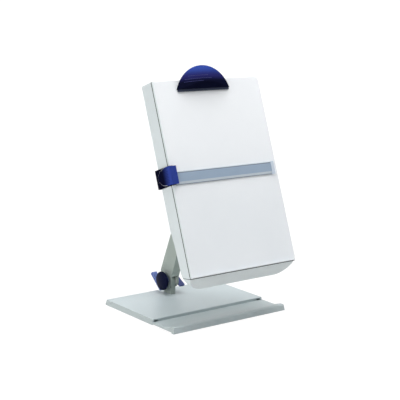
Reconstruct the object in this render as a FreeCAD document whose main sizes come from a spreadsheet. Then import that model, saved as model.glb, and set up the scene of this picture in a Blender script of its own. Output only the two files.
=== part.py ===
import FreeCAD, Part
import Sketcher

import os
import re

# Desk document holder with a drawer in its base, in millimetres. +Z is up, the front faces -Y and
# X = 0 is the plane of symmetry. The origin is on the desk, under the middle of the base.
#
# Three frames are used. The base stands square on the desk. The arm frame has its origin on the
# tilt axis, with Z along the arm. The board frame has its origin at the middle of the foot of the
# front panel, with Z up the board and Y through its thickness to the back.

SIZES = {
    # base
    "base_width": 230, "base_depth": 196, "base_height": 10, "side_flare": 1.8,
    "cover_gauge": 1.8, "cover_wall": 3, "floor_gauge": 1.2, "floor_gap": 0.3,
    "foot_height": 0.8, "foot_radius": 7, "foot_inset": 16,
    "boss_radius": 3.5, "boss_inset": 7.2, "anchor_inset": 9,
    # drawer
    "front_depth": 58, "lip_height": 11, "lip_land": 7, "lip_slope": 17, "lip_round": 2.3,
    "trough_height": 5.6, "fascia_gauge": 5, "drawer_gap": 0.4, "slide_gap": 0.3,
    "tray_gauge": 1.2, "lug_reach": 2.4, "lug_length": 4, "rail_gauge": 2.5, "rail_length": 92,
    "stop_length": 3,
    # ballast and post
    "ballast_inset": 19, "ballast_depth": 34, "rear_gap": 2,
    "flange_width": 56, "flange_depth": 37, "flange_gauge": 3,
    "axis_inset": 26, "post_width": 9, "post_radius": 9.5, "post_front": 8.5, "post_back": 13,
    # arm
    "arm_length": 254.8, "arm_angle": 19.68, "arm_gauge": 2.4,
    "heel_radius": 14, "heel_back": 21.7, "heel_front": 11, "heel_height": 8.5, "heel_turn": 37,
    "web_foot": 13, "arm_tip": 9, "tip_block": 14, "cover_start": 26,
    "washer_radius": 11, "washer_gauge": 1,
    "axle_radius": 4, "turn_gap": 0.05,
    # tilt levers
    "knob_radius": 16.4, "knob_gauge": 3.4, "knob_round": 1.5, "knob_gap": 7.6, "knob_stand": 7.4,
    "hub_radius": 7, "hub_gauge": 4.5, "hub_round": 1.5, "socket_floor": 2, "side_gap": 0.4,
    "blade_width": 10, "blade_length": 36.5, "blade_gauge": 5.2,
    "blade_drop": 12.4, "blade_start": 8, "blade_angle": 41, "stem_length": 8,
    "paddle_length": 25, "paddle_gauge": 4, "paddle_rise": 1.5, "paddle_start": 18.9, "paddle_angle": 28,
    # board
    "board_width": 215, "board_height": 314, "board_depth": 30, "board_tilt": 20.3,
    "shell_gauge": 2.2, "seam_gap": 0.9, "edge_round": 4, "top_round": 8, "rail_round": 2,
    "chin_round": 32, "chin_drop": 17, "chin_front": 12, "chin_break": 10.2, "chin_cut": 10,
    "chin_rise": 10, "chin_wall": 4.6, "chin_floor": 3.3, "shell_foot": 9,
    "waist_cut": 5.5, "waist_height": 58, "shoulder_height": 84,
    "panel_gauge": 4, "panel_round": 1.5, "panel_border": 8, "dish_depth": 2,
    "ledge_reach": 3, "ledge_gauge": 2.2, "ledge_rise": 0.4, "ledge_left": 1.5, "ledge_right": 3.5,
    # pivot at the back of the board
    "pin_height": 207, "pin_radius": 3, "tip_gap": 4.2, "lug_gauge": 4, "lug_radius": 10,
    "lug_foot": 16, "pad_width": 52, "pad_height": 46, "pad_gauge": 3, "pad_inset": 4.5,
    # clip
    "clip_offset": -11.6, "clip_drop": 16.6, "clip_rise": 38, "clip_bulge": 12.5, "clip_radius": 56,
    "clip_gauge": 2.2, "clip_gap": 0.3, "clip_lean": 10, "clip_lip": 1.2, "dome_radius": 112,
    "pivot_height": 21.6, "pivot_front": 1, "pivot_radius": 1.5,
    "saddle_width": 32, "saddle_depth": 20, "saddle_gauge": 2.4,
    "ear_gauge": 2.5, "ear_radius": 3, "coil_radius": 3.4, "coil_length": 14,
    # line guide
    "slider_foot": 147.5, "slider_height": 30.5, "slider_gauge": 2.6, "slider_reach": 13,
    "slider_toe": 4.6, "thumb_gauge": 2.2, "thumb_width": 9.2, "thumb_inset": 0.8,
    "thumb_tip": 32, "thumb_round": 3.5, "felt_gauge": 1.6, "felt_proud": 0.25, "felt_inset": 3,
    "guide_drop": 1, "guide_height": 21, "guide_gauge": 2.4, "guide_bevel": 5, "guide_edge": 0.9,
    "guide_inset": 13.5, "cap_length": 6, "cap_proud": 0.9, "cap_lap": 0.45,
    # screws
    "screw_radius": 1.5, "head_radius": 2.8, "head_height": 1.1, "wafer_height": 0.6,
    "screw_length": 4.5,
}

doc = FreeCAD.newDocument("DocumentHolder")
sheet = doc.addObject("Spreadsheet::Sheet", "Sizes")
for row, (alias, number) in enumerate(SIZES.items(), 1):
    sheet.set(f"A{row}", alias)
    sheet.set(f"B{row}", str(number))
    sheet.setAlias(f"B{row}", alias)
doc.recompute()

PIECES = []
X_AXIS = FreeCAD.Vector(1, 0, 0)
Y_AXIS = FreeCAD.Vector(0, 1, 0)
Z_AXIS = FreeCAD.Vector(0, 0, 1)
LEVEL = FreeCAD.Placement()
TINY = 0.01


# ---- helpers: a text such as "base_width / 2" is an expression of the sheet's cells ----

def bind(text):
    return re.sub(r"\b[a-z]+(_[a-z]+)+\b", r"Sizes.\g<0>", str(text))


def number(text):
    return float(sheet.evalExpression(bind(text)))


def tie(item, prop, text):
    item.setExpression(prop, bind(text))


def piece(item, label, frame=LEVEL):
    item.Label = label
    if frame != LEVEL:
        doc.recompute()
        for letter in "xyz":
            item.setExpression(f"Placement.Base.{letter}", None)
    item.Placement = frame.multiply(item.Placement)
    PIECES.append(item)
    return item


def newBody(label, frame=LEVEL):
    return piece(doc.addObject("PartDesign::Body", label), label, frame)


def newSketch(body, role, offset="0"):
    sketch = body.newObject("Sketcher::SketchObject", body.Name + "Sketch")
    plane = next(item for item in body.Origin.OriginFeatures if item.Role == role)
    sketch.AttachmentSupport = [(plane, "")]
    sketch.MapMode = "FlatFace"
    tie(sketch, "AttachmentOffset.Base.z", offset)
    return sketch


def fix(sketch, kind, geo, pos, text):
    # the distance of a sketch point from the sketch's origin
    index = sketch.addConstraint(Sketcher.Constraint(kind, -1, 1, geo, pos, number(text)))
    tie(sketch, f"Constraints[{index}]", text)


def outline(sketch, corners):
    # a closed polygon through corners, each a pair of expressions
    points = [FreeCAD.Vector(number(x), number(y), 0) for x, y in corners]
    first = sketch.GeometryCount
    count = len(points)
    for k in range(count):
        sketch.addGeometry(Part.LineSegment(points[k], points[(k + 1) % count]), False)
    for k in range(count):
        after = first + (k + 1) % count
        sketch.addConstraint(Sketcher.Constraint("Coincident", first + k, 2, after, 1))
        fix(sketch, "DistanceX", first + k, 1, corners[k][0])
        fix(sketch, "DistanceY", first + k, 1, corners[k][1])
    return sketch


def block(sketch, left, right, low, high):
    return outline(sketch, [(left, low), (right, low), (right, high), (left, high)])


def ring(sketch, x, y, radius):
    centre = FreeCAD.Vector(number(x), number(y), 0)
    geo = sketch.addGeometry(Part.Circle(centre, Z_AXIS, number(radius)), False)
    fix(sketch, "DistanceX", geo, 3, x)
    fix(sketch, "DistanceY", geo, 3, y)
    index = sketch.addConstraint(Sketcher.Constraint("Radius", geo, number(radius)))
    tie(sketch, f"Constraints[{index}]", radius)
    return sketch


def pad(body, sketch, length, midplane=False, turned=False):
    feature = body.newObject("PartDesign::Pad", body.Name + "Pad")
    feature.Profile = sketch
    tie(feature, "Length", length)
    feature.Midplane = midplane
    feature.Reversed = turned
    return feature


def pocket(body, sketch, length, midplane=False, turned=False):
    doc.recompute()
    before = body.Shape.Volume
    feature = body.newObject("PartDesign::Pocket", body.Name + "Pocket")
    feature.Profile = sketch
    tie(feature, "Length", length)
    feature.Midplane = midplane
    feature.Reversed = turned
    doc.recompute()
    if body.Shape.Volume >= before - 1e-6:
        raise ValueError(f"{feature.Name} cuts nothing")
    return feature


def rounded(body, radius, test):
    # rounds the edges of the body whose middle passes the test
    doc.recompute()
    last = body.Tip
    edges = [f"Edge{k}" for k, edge in enumerate(last.Shape.Edges, 1) if test(edge)]
    feature = body.newObject("PartDesign::Fillet", body.Name + "Fillet")
    feature.Base = (last, edges)
    tie(feature, "Radius", radius)
    return feature


def along(edge, axis):
    # true for a straight edge parallel to the axis
    return edge.Curve.TypeId == "Part::GeomLine" and abs(abs(edge.Curve.Direction.dot(axis)) - 1) < 1e-6


def near(a, text):
    return abs(a - number(text)) < TINY


def box(name, low, high):
    item = doc.addObject("Part::Box", name)
    for prop, axis, a, b in zip(("Length", "Width", "Height"), "xyz", low, high):
        tie(item, prop, f"({b}) - ({a})")
        tie(item, f"Placement.Base.{axis}", a)
    return item


def rod(name, axis, radius, length, start):
    item = doc.addObject("Part::Cylinder", name)
    turn = {"x": FreeCAD.Rotation(Y_AXIS, 90), "y": FreeCAD.Rotation(X_AXIS, -90),
            "z": FreeCAD.Rotation()}[axis]
    item.Placement = FreeCAD.Placement(FreeCAD.Vector(), turn)
    tie(item, "Radius", radius)
    tie(item, "Height", length)
    for letter, text in zip("xyz", start):
        tie(item, f"Placement.Base.{letter}", text)
    return item


def cut(name, base, *tools):
    item = doc.addObject("Part::Cut", name)
    item.Base = base
    item.Tool = tools[0] if len(tools) == 1 else fuse(name + "Tools", *tools)
    return item


def fuse(name, *shapes):
    item = doc.addObject("Part::MultiFuse", name)
    item.Shapes = list(shapes)
    return item


def common(name, *shapes):
    item = doc.addObject("Part::MultiCommon", name)
    item.Shapes = list(shapes)
    return item


def floorScrew(label, x, y, length):
    # a flat head under the floor plate and a shank that goes up through it
    head = rod(label + "Head", "z", "head_radius", "wafer_height", (x, y, "foot_height - wafer_height"))
    shank = rod(label + "Shank", "z", "screw_radius", f"floor_gauge + {length}", (x, y, "foot_height"))
    piece(fuse(label, head, shank), label)


def padScrew(label, x, z):
    # a round head behind the bracket's pad and a shank that goes forward into the shell
    back = "(board_depth + pad_gauge)"
    head = rod(label + "Head", "y", "head_radius", "head_height", (x, back, z))
    shank = rod(label + "Shank", "y", "screw_radius", "pad_gauge + shell_gauge",
                (x, "board_depth - shell_gauge", z))
    piece(fuse(label, head, shank), label, BOARD)


# ---- positions that several pieces share ----

FRONT = "(-base_depth / 2)"
BACK = "(base_depth / 2)"
SIDE = "(base_width / 2)"
WIDE = "(base_width + 2 * side_flare)"
STEP = f"({FRONT} + front_depth)"
FLOOR_TOP = "(foot_height + floor_gauge)"
CEILING = "(base_height - cover_gauge)"
BOSS_X = f"({SIDE} - boss_inset)"
AXIS_Y = f"({BACK} - axis_inset)"
AXIS_Z = "(base_height + knob_gap + knob_radius)"
FLANGE_LOW = f"({AXIS_Y} + (post_back - post_front) / 2 - flange_depth / 2)"
BOSSES = [(f"{sign}{BOSS_X}", y) for sign in ("", "-")
          for y in (f"{STEP} + boss_inset + stop_length", f"{BACK} - boss_inset")]
ANCHORS = [(f"{sign}(flange_width / 2 - anchor_inset)", y) for sign in ("", "-")
           for y in (f"{FLANGE_LOW} + anchor_inset", f"{FLANGE_LOW} + flange_depth - anchor_inset")]

# the drawer: its tray runs between two rails, which stand inside the cover's front bosses
RAIL_OUTER = f"({BOSS_X} - boss_radius - drawer_gap)"
RAIL_INNER = f"({RAIL_OUTER} - rail_gauge)"
LUG_X = f"({RAIL_INNER} - drawer_gap)"
TRAY_X = f"({LUG_X} - lug_reach)"
TRAY_LOW = f"({FLOOR_TOP} + slide_gap)"
TRAY_TOP = f"({CEILING} - slide_gap)"
TRAY_FRONT = f"({STEP} - drawer_gap)"
TRAY_BACK = f"({FLANGE_LOW} - rear_gap)"

# the arm's fork closes on the post with a washer on each side
CHEEK_IN = "(post_width / 2 + side_gap + washer_gauge)"
CHEEK_OUT = f"({CHEEK_IN} + arm_gauge)"
LUG_IN = f"({CHEEK_OUT} + side_gap)"
LUG_OUT = f"({LUG_IN} + lug_gauge)"

# the board
CHIN_BACK = "(board_depth - chin_cut)"
WAIST_Y = "(board_depth - waist_cut)"
PIN_Y = "(board_depth + pad_gauge + tip_gap + arm_tip)"
PAD_SCREWS = [(f"{a}(pad_width / 2 - pad_inset)", f"pin_height {b} (pad_height / 2 - pad_inset)")
              for a in ("", "-") for b in ("+", "-")]

# the clip, standing upright with its foot on the front panel, before it leans
CLIP_FOOT = "(board_height - clip_drop)"
CREST = f"({CLIP_FOOT} + clip_rise)"
FACE = "(-(panel_gauge + clip_gap))"
REST = f"({FACE} - clip_lip)"
PIVOT_Y = f"({FACE} - pivot_front)"
PIVOT_Z = f"({CLIP_FOOT} + pivot_height)"
# the same pivot once the clip leans, which is where the pin and its saddle are
PIN_AXIS = (f"({FACE} - pivot_front * cos(clip_lean) - pivot_height * sin(clip_lean))",
            f"({CLIP_FOOT} - pivot_front * sin(clip_lean) + pivot_height * cos(clip_lean))")
LUG_START = "(saddle_width / 2 + clip_gap)"
LUG_END = f"({LUG_START} + ear_gauge)"

# the slider on the left edge of the board
LEFT = "(-board_width / 2)"
SLIDER_TOP = "(slider_foot + slider_height)"
SLIDER_LEFT = f"({LEFT} - side_gap - slider_gauge)"
SLIDER_BACK = "(board_depth + side_gap)"
SKIN = "(-(panel_gauge + side_gap))"
SHOE = f"({SKIN} - slider_gauge)"
GUIDE_FOOT = "(slider_foot - guide_drop)"
GUIDE_TOP = f"({GUIDE_FOOT} + guide_height)"
GUIDE_START = f"({LEFT} + slider_toe)"
GUIDE_END = "(board_width / 2 - guide_inset)"
GUIDE_BACK = f"({SHOE} + guide_gauge)"

lean = FreeCAD.Rotation(X_AXIS, number("arm_angle"))
tilt = FreeCAD.Rotation(X_AXIS, -number("board_tilt"))
axis_point = FreeCAD.Vector(0, number(AXIS_Y), number(AXIS_Z))
ARM = FreeCAD.Placement(axis_point, lean)
head_point = ARM.multVec(FreeCAD.Vector(0, 0, number("arm_length")))
pin_point = FreeCAD.Vector(0, number(PIN_Y), number("pin_height"))
BOARD = FreeCAD.Placement(head_point - tilt.multVec(pin_point), tilt)


# ---- base ----

def flareSides(body, top):
    # trims both sides to the slope from the desk up to the top edge
    for sign in ("", "-"):
        face = newSketch(body, "XZ_Plane")
        outline(face, [(f"{sign}{SIDE}", top), (f"{sign}({SIDE} + 4 * side_flare)", top),
                       (f"{sign}({SIDE} + 4 * side_flare)", "-foot_height"),
                       (f"{sign}({SIDE} + side_flare)", "0")])
        pocket(body, face, "2 * (base_depth + 4 * side_flare)", midplane=True)


def makeCover():
    body = newBody("base_cover")
    side = newSketch(body, "YZ_Plane")
    outline(side, [(STEP, "foot_height"), (STEP, "base_height"), (BACK, "base_height"),
                   (f"{BACK} + side_flare", "foot_height")])
    pad(body, side, WIDE, midplane=True)
    flareSides(body, "base_height")
    inside = newSketch(body, "XY_Plane")
    block(inside, f"-({SIDE} - cover_wall)", f"{SIDE} - cover_wall", TRAY_FRONT, f"{BACK} - cover_wall")
    pocket(body, inside, CEILING, turned=True)
    slot = newSketch(body, "XY_Plane")
    block(slot, "-(post_width / 2 + drawer_gap)", "post_width / 2 + drawer_gap",
          f"{AXIS_Y} - post_radius - drawer_gap", f"{AXIS_Y} + post_back + drawer_gap")
    pocket(body, slot, "base_height + lip_height", turned=True)
    bosses = newSketch(body, "XY_Plane", FLOOR_TOP)
    for x, y in BOSSES:
        ring(bosses, x, y, "boss_radius")
    pad(body, bosses, f"{CEILING} - {FLOOR_TOP}")
    pilots = newSketch(body, "XY_Plane")
    for x, y in BOSSES:
        ring(pilots, x, y, "screw_radius + turn_gap")
    pocket(body, pilots, f"{FLOOR_TOP} + screw_length + turn_gap", turned=True)


def makeFloor():
    body = newBody("base_floor")
    plate = newSketch(body, "XY_Plane", "foot_height")
    block(plate, f"-({SIDE} - cover_wall - floor_gap)", f"{SIDE} - cover_wall - floor_gap",
          f"{FRONT} + fascia_gauge + drawer_gap", f"{BACK} - cover_wall - floor_gap")
    pad(body, plate, "floor_gauge")
    holes = newSketch(body, "XY_Plane")
    for x, y in BOSSES + ANCHORS:
        ring(holes, x, y, "screw_radius + turn_gap")
    pocket(body, holes, f"{FLOOR_TOP} + floor_gauge", turned=True)


def makeFeet():
    inset = "(foot_inset + foot_radius)"
    places = [(f"{sign}({SIDE} - {inset})", y) for y in (f"{FRONT} + {inset}", f"{BACK} - {inset}")
              for sign in ("-", "")]
    for k, (x, y) in enumerate(places, 1):
        piece(rod(f"foot_{k}", "z", "foot_radius", "foot_height", (x, y, "0")), f"foot_{k}")


def makePost():
    body = newBody("post")
    flange = newSketch(body, "XY_Plane", FLOOR_TOP)
    block(flange, "-flange_width / 2", "flange_width / 2", FLANGE_LOW, f"{FLANGE_LOW} + flange_depth")
    pad(body, flange, "flange_gauge")
    side = newSketch(body, "YZ_Plane")
    outline(side, [(f"{AXIS_Y} - post_front", FLOOR_TOP), (f"{AXIS_Y} + post_back", FLOOR_TOP),
                   (f"{AXIS_Y} + post_radius", AXIS_Z), (f"{AXIS_Y} - post_radius", AXIS_Z)])
    pad(body, side, "post_width", midplane=True)
    top = newSketch(body, "YZ_Plane")
    pad(body, ring(top, AXIS_Y, AXIS_Z, "post_radius"), "post_width", midplane=True)
    bore = newSketch(body, "YZ_Plane")
    ring(bore, AXIS_Y, AXIS_Z, "axle_radius + turn_gap")
    pocket(body, bore, "2 * post_width", midplane=True)
    holes = newSketch(body, "XY_Plane")
    for x, y in ANCHORS:
        ring(holes, x, y, "screw_radius + turn_gap")
    pocket(body, holes, f"{FLOOR_TOP} + 2 * flange_gauge", turned=True)


def makeBaseFixings():
    for k, (x, y) in enumerate(BOSSES, 1):
        floorScrew(f"cover_screw_{k}", x, y, "screw_length")
    for k, (x, y) in enumerate(ANCHORS, 1):
        floorScrew(f"post_screw_{k}", x, y, "flange_gauge")
    high = f"({BACK} - cover_wall - rear_gap)"
    inner = "(flange_width / 2 + rear_gap)"
    outer = f"({SIDE} - ballast_inset)"
    for name, ends in (("ballast_left", (f"-{outer}", f"-{inner}")), ("ballast_right", (inner, outer))):
        piece(box(name, (ends[0], f"{high} - ballast_depth", FLOOR_TOP),
                  (ends[1], high, f"{CEILING} - drawer_gap")), name)


def makeGuides():
    # a rail beside the tray on each side, with a stop tooth at its front end
    start = f"({STEP} + drawer_gap)"
    for name, sign in (("drawer_guide_left", "-"), ("drawer_guide_right", "")):
        body = newBody(name)
        plan = newSketch(body, "XY_Plane", FLOOR_TOP)
        tooth = f"{sign}({TRAY_X} + drawer_gap)"
        outline(plan, [(tooth, start), (f"{sign}{RAIL_OUTER}", start),
                       (f"{sign}{RAIL_OUTER}", f"{start} + rail_length"),
                       (f"{sign}{RAIL_INNER}", f"{start} + rail_length"),
                       (f"{sign}{RAIL_INNER}", f"{start} + stop_length"), (tooth, f"{start} + stop_length")])
        pad(body, plan, f"{TRAY_TOP} - {FLOOR_TOP}")


def makeDrawer():
    # a full-width trough behind a raised lip, whose skirt hides the edge of the floor plate
    body = newBody("drawer_front")
    side = newSketch(body, "YZ_Plane")
    outline(side, [(f"{FRONT} - side_flare", "foot_height"), (FRONT, "lip_height"),
                   (f"{FRONT} + lip_land", "lip_height"),
                   (f"{FRONT} + lip_land + lip_slope", "trough_height"), (TRAY_FRONT, "trough_height"),
                   (TRAY_FRONT, TRAY_LOW), (f"{FRONT} + fascia_gauge", TRAY_LOW),
                   (f"{FRONT} + fascia_gauge", "foot_height")])
    pad(body, side, WIDE, midplane=True)
    flareSides(body, "lip_height")
    rounded(body, "lip_round", lambda e: along(e, X_AXIS) and near(e.Vertexes[0].Z, "lip_height"))
    # behind it a tray, walled all round, with a lug at the back of each side for the stop tooth to catch
    body = newBody("drawer_tray")
    plan = newSketch(body, "XY_Plane", TRAY_LOW)
    block(plan, f"-{TRAY_X}", TRAY_X, TRAY_FRONT, TRAY_BACK)
    pad(body, plan, f"{TRAY_TOP} - {TRAY_LOW}")
    lugs = newSketch(body, "XY_Plane", TRAY_LOW)
    block(lugs, f"-{LUG_X}", LUG_X, f"{TRAY_BACK} - lug_length", TRAY_BACK)
    pad(body, lugs, f"{TRAY_TOP} - {TRAY_LOW}")
    inside = newSketch(body, "XY_Plane", f"{TRAY_LOW} + tray_gauge")
    block(inside, f"-({TRAY_X} - tray_gauge)", f"{TRAY_X} - tray_gauge", f"{TRAY_FRONT} + tray_gauge",
          f"{TRAY_BACK} - tray_gauge")
    pocket(body, inside, TRAY_TOP, turned=True)


# ---- arm ----

def makeArm():
    body = newBody("arm_channel", ARM)
    side = newSketch(body, "YZ_Plane")
    outline(side, [("-heel_front", "heel_height"), ("-arm_tip", "arm_length"), ("arm_tip", "arm_length"),
                   ("heel_back", "heel_height")])
    pad(body, side, f"2 * {CHEEK_OUT}", midplane=True)
    for z, radius in (("0", "heel_radius"), ("arm_length", "arm_tip")):
        end = newSketch(body, "YZ_Plane")
        pad(body, ring(end, "0", z, radius), f"2 * {CHEEK_OUT}", midplane=True)
    web = newSketch(body, "YZ_Plane")
    outline(web, [("heel_back", "heel_height"), ("0", "heel_height + heel_radius"), ("0", "0"),
                  ("heel_radius * cos(heel_turn)", "-heel_radius * sin(heel_turn)")])
    pad(body, web, f"2 * {CHEEK_OUT}", midplane=True)
    hollow = newSketch(body, "YZ_Plane")
    outline(hollow, [("-2 * heel_front", "-2 * heel_radius"), ("-2 * heel_front", "web_foot"),
                     ("-heel_front + arm_gauge", "web_foot"),
                     ("-arm_tip + arm_gauge", "arm_length - tip_block"),
                     ("2 * heel_back", "arm_length - tip_block"), ("2 * heel_back", "-2 * heel_radius")])
    pocket(body, hollow, f"2 * {CHEEK_IN}", midplane=True)
    bores = newSketch(body, "YZ_Plane")
    ring(bores, "0", "0", "axle_radius + turn_gap")
    ring(bores, "0", "arm_length", "pin_radius + turn_gap")
    pocket(body, bores, f"4 * {CHEEK_OUT}", midplane=True)


def makeArmCover():
    # closes the back of the channel, flush with the edges of its cheeks
    taper = "(heel_back - arm_tip) / (arm_length - heel_height)"
    low = f"heel_back - {taper} * (cover_start - heel_height)"
    high = f"arm_tip + {taper} * (tip_block + drawer_gap)"
    body = newBody("arm_back_cover", ARM)
    side = newSketch(body, "YZ_Plane")
    end = "arm_length - tip_block - drawer_gap"
    outline(side, [(low, "cover_start"), (high, end), (f"{high} - arm_gauge", end),
                   (f"{low} - arm_gauge", "cover_start")])
    pad(body, side, f"2 * ({CHEEK_IN} - turn_gap)", midplane=True)


def makeWashers():
    # friction washers, fixed inside the cheeks of the fork
    for name, start in (("friction_washer_left", f"-{CHEEK_IN}"),
                        ("friction_washer_right", f"{CHEEK_IN} - washer_gauge")):
        disc = rod(name + "Disc", "x", "washer_radius", "washer_gauge", (start, "0", "0"))
        hole = rod(name + "Hole", "x", "axle_radius + turn_gap", "3 * washer_gauge",
                   (f"{start} - washer_gauge", "0", "0"))
        piece(cut(name, disc, hole), name, ARM)


# ---- tilt levers, one on each end of the axle ----

def leverBar(name, sign, width, length, height, start, low, angle):
    # a bar beside the arm's cheek, in the plane of the lever's slope
    slope = FreeCAD.Rotation(X_AXIS, number(angle))
    bar = doc.addObject("Part::Box", name)
    tie(bar, "Length", width)
    tie(bar, "Width", length)
    tie(bar, "Height", height)
    x = LUG_IN if sign > 0 else f"-({LUG_IN} + {width})"
    corner = FreeCAD.Vector(number(x), number(start), number(low))
    bar.Placement = FreeCAD.Placement(slope.multVec(corner), slope)
    return bar


def leverDisc(name, sign, radius, gauge, stand, soft):
    # a round disc, stand away from the arm's cheek, with its outer edge softened
    inner = f"({LUG_IN} + {stand})"
    disc = rod(name + "Disc", "x", radius, gauge, (inner if sign > 0 else f"-({inner} + {gauge})", "0", "0"))
    rim = doc.addObject("Part::Fillet", name + "Rim")
    rim.Base = disc
    doc.recompute()
    outer = sign * number(f"{inner} + {gauge}")
    rim.Edges = [(k, number(soft), number(soft)) for k, edge in enumerate(disc.Shape.Edges, 1)
                 if abs(edge.CenterOfMass.x - outer) < TINY]
    return rim


def makeLevers():
    left_end = f"({LUG_IN} + knob_stand + knob_gauge - socket_floor)"
    right_end = f"({LUG_IN} + hub_gauge - socket_floor)"
    axle = rod("hinge_axle", "x", "axle_radius", f"{left_end} + {right_end}",
               (f"-{left_end}", AXIS_Y, AXIS_Z))
    piece(axle, "hinge_axle")
    pivot = FreeCAD.Placement(axis_point, FreeCAD.Rotation())
    name = "tilt_lever_left"
    left = [leverDisc(name, -1, "knob_radius", "knob_gauge", "knob_stand", "knob_round"),
            rod(name + "Hub", "x", "hub_radius", "knob_stand + knob_gauge / 2",
                (f"-({LUG_IN} + knob_stand + knob_gauge / 2)", "0", "0")),
            leverBar(name + "Blade", -1, "blade_width", "blade_length", "blade_gauge",
                     "-blade_start", "-(blade_drop + blade_gauge)", "blade_angle"),
            leverBar(name + "Stem", -1, "blade_width", "stem_length", "blade_drop + blade_gauge / 2",
                     "-stem_length / 2", "-(blade_drop + blade_gauge / 2)", "blade_angle")]
    name = "tilt_lever_right"
    right = [leverDisc(name, 1, "hub_radius", "hub_gauge", "0", "hub_round"),
             leverBar(name + "Paddle", 1, "blade_width", "paddle_length", "paddle_gauge",
                      "-paddle_start", "paddle_rise - paddle_gauge", "paddle_angle")]
    for name, solids, start, end in (("tilt_lever_left", left, f"-({left_end} + turn_gap)", left_end),
                                     ("tilt_lever_right", right, "0", right_end)):
        socket = rod(name + "Socket", "x", "axle_radius + turn_gap", f"{end} + turn_gap", (start, "0", "0"))
        piece(cut(name, fuse(name + "Solid", *solids), socket), name, pivot)


# ---- board ----

def cornerRounded(body, radius, side, low):
    # rounds one corner of a front outline: side is -1 on the left, low is true at the foot
    middle = number("board_height / 2")
    rounded(body, radius, lambda e: along(e, Y_AXIS) and e.CenterOfMass.x * side > 0
            and (e.CenterOfMass.z < middle) == low)


def makeShell():
    body = newBody("back_shell", BOARD)
    front = newSketch(body, "XZ_Plane", "-seam_gap")
    block(front, "-board_width / 2", "board_width / 2", "-chin_drop", "board_height")
    pad(body, front, "board_depth - seam_gap", turned=True)
    for radius, side, low in (("chin_round", -1, True), ("chin_round", 1, True),
                              ("rail_round", -1, False), ("top_round", 1, False)):
        cornerRounded(body, radius, side, low)
    rounded(body, "edge_round", lambda e: near(e.CenterOfMass.y, "board_depth")
            and e.CenterOfMass.z > number("chin_round"))
    waist = newSketch(body, "YZ_Plane")
    outline(waist, [("board_depth", "shoulder_height"), (WAIST_Y, "waist_height"),
                    (f"{CHIN_BACK} + 2 * seam_gap", "chin_rise"), (CHIN_BACK, "-chin_drop"),
                    (CHIN_BACK, "-2 * chin_drop"), ("2 * board_depth", "-2 * chin_drop"),
                    ("2 * board_depth", "shoulder_height")])
    pocket(body, waist, "2 * board_width", midplane=True)
    brow = newSketch(body, "YZ_Plane")
    outline(brow, [("-board_depth", "board_height"), ("-board_depth", "-2 * chin_drop"),
                   (CHIN_BACK, "-2 * chin_drop"), (CHIN_BACK, "-chin_drop"),
                   ("chin_front", "-chin_break"), ("seam_gap", "-seam_gap"), ("seam_gap", "board_height")])
    pocket(body, brow, "2 * board_width", midplane=True)
    inside = newSketch(body, "YZ_Plane")
    outline(inside, [("-board_depth", "shell_foot"), (f"{WAIST_Y} - 2 * shell_gauge", "shell_foot"),
                     (f"{WAIST_Y} - shell_gauge", "waist_height"),
                     ("board_depth - shell_gauge", "shoulder_height"),
                     ("board_depth - shell_gauge", "board_height - shell_gauge"),
                     ("-board_depth", "board_height - shell_gauge")])
    pocket(body, inside, "board_width - 2 * shell_gauge", midplane=True)
    chin = newSketch(body, "YZ_Plane")
    outline(chin, [("seam_gap + chin_wall", "shell_foot + shell_gauge"), ("seam_gap + chin_wall", "-shell_gauge"),
                   (f"{CHIN_BACK} - shell_gauge", "-chin_drop + chin_floor"),
                   (f"{CHIN_BACK} - shell_gauge", "shell_foot + shell_gauge")])
    pocket(body, chin, "board_width - 2 * chin_round", midplane=True)
    holes = newSketch(body, "XZ_Plane")
    for x, z in PAD_SCREWS:
        ring(holes, x, z, "screw_radius + turn_gap")
    pocket(body, holes, "2 * board_depth")


def makePanel():
    body = newBody("front_panel", BOARD)
    front = newSketch(body, "XZ_Plane")
    block(front, "-board_width / 2", "board_width / 2", "0", "board_height")
    pad(body, front, "panel_gauge")
    for radius, side in (("rail_round", -1), ("top_round", 1)):
        cornerRounded(body, radius, side, True)
        cornerRounded(body, radius, side, False)
    rounded(body, "panel_round", lambda e: near(e.CenterOfMass.y, "-panel_gauge"))
    dish = newSketch(body, "XZ_Plane")
    block(dish, "-(board_width / 2 - panel_border)", "board_width / 2 - panel_border", "panel_border",
          "board_height - panel_border")
    pocket(body, dish, "dish_depth", turned=True)
    ledge = newSketch(body, "XZ_Plane")
    block(ledge, "-board_width / 2 + ledge_left", "board_width / 2 - ledge_right", "ledge_rise",
          "ledge_rise + ledge_gauge")
    pad(body, ledge, "panel_gauge + ledge_reach")


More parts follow.
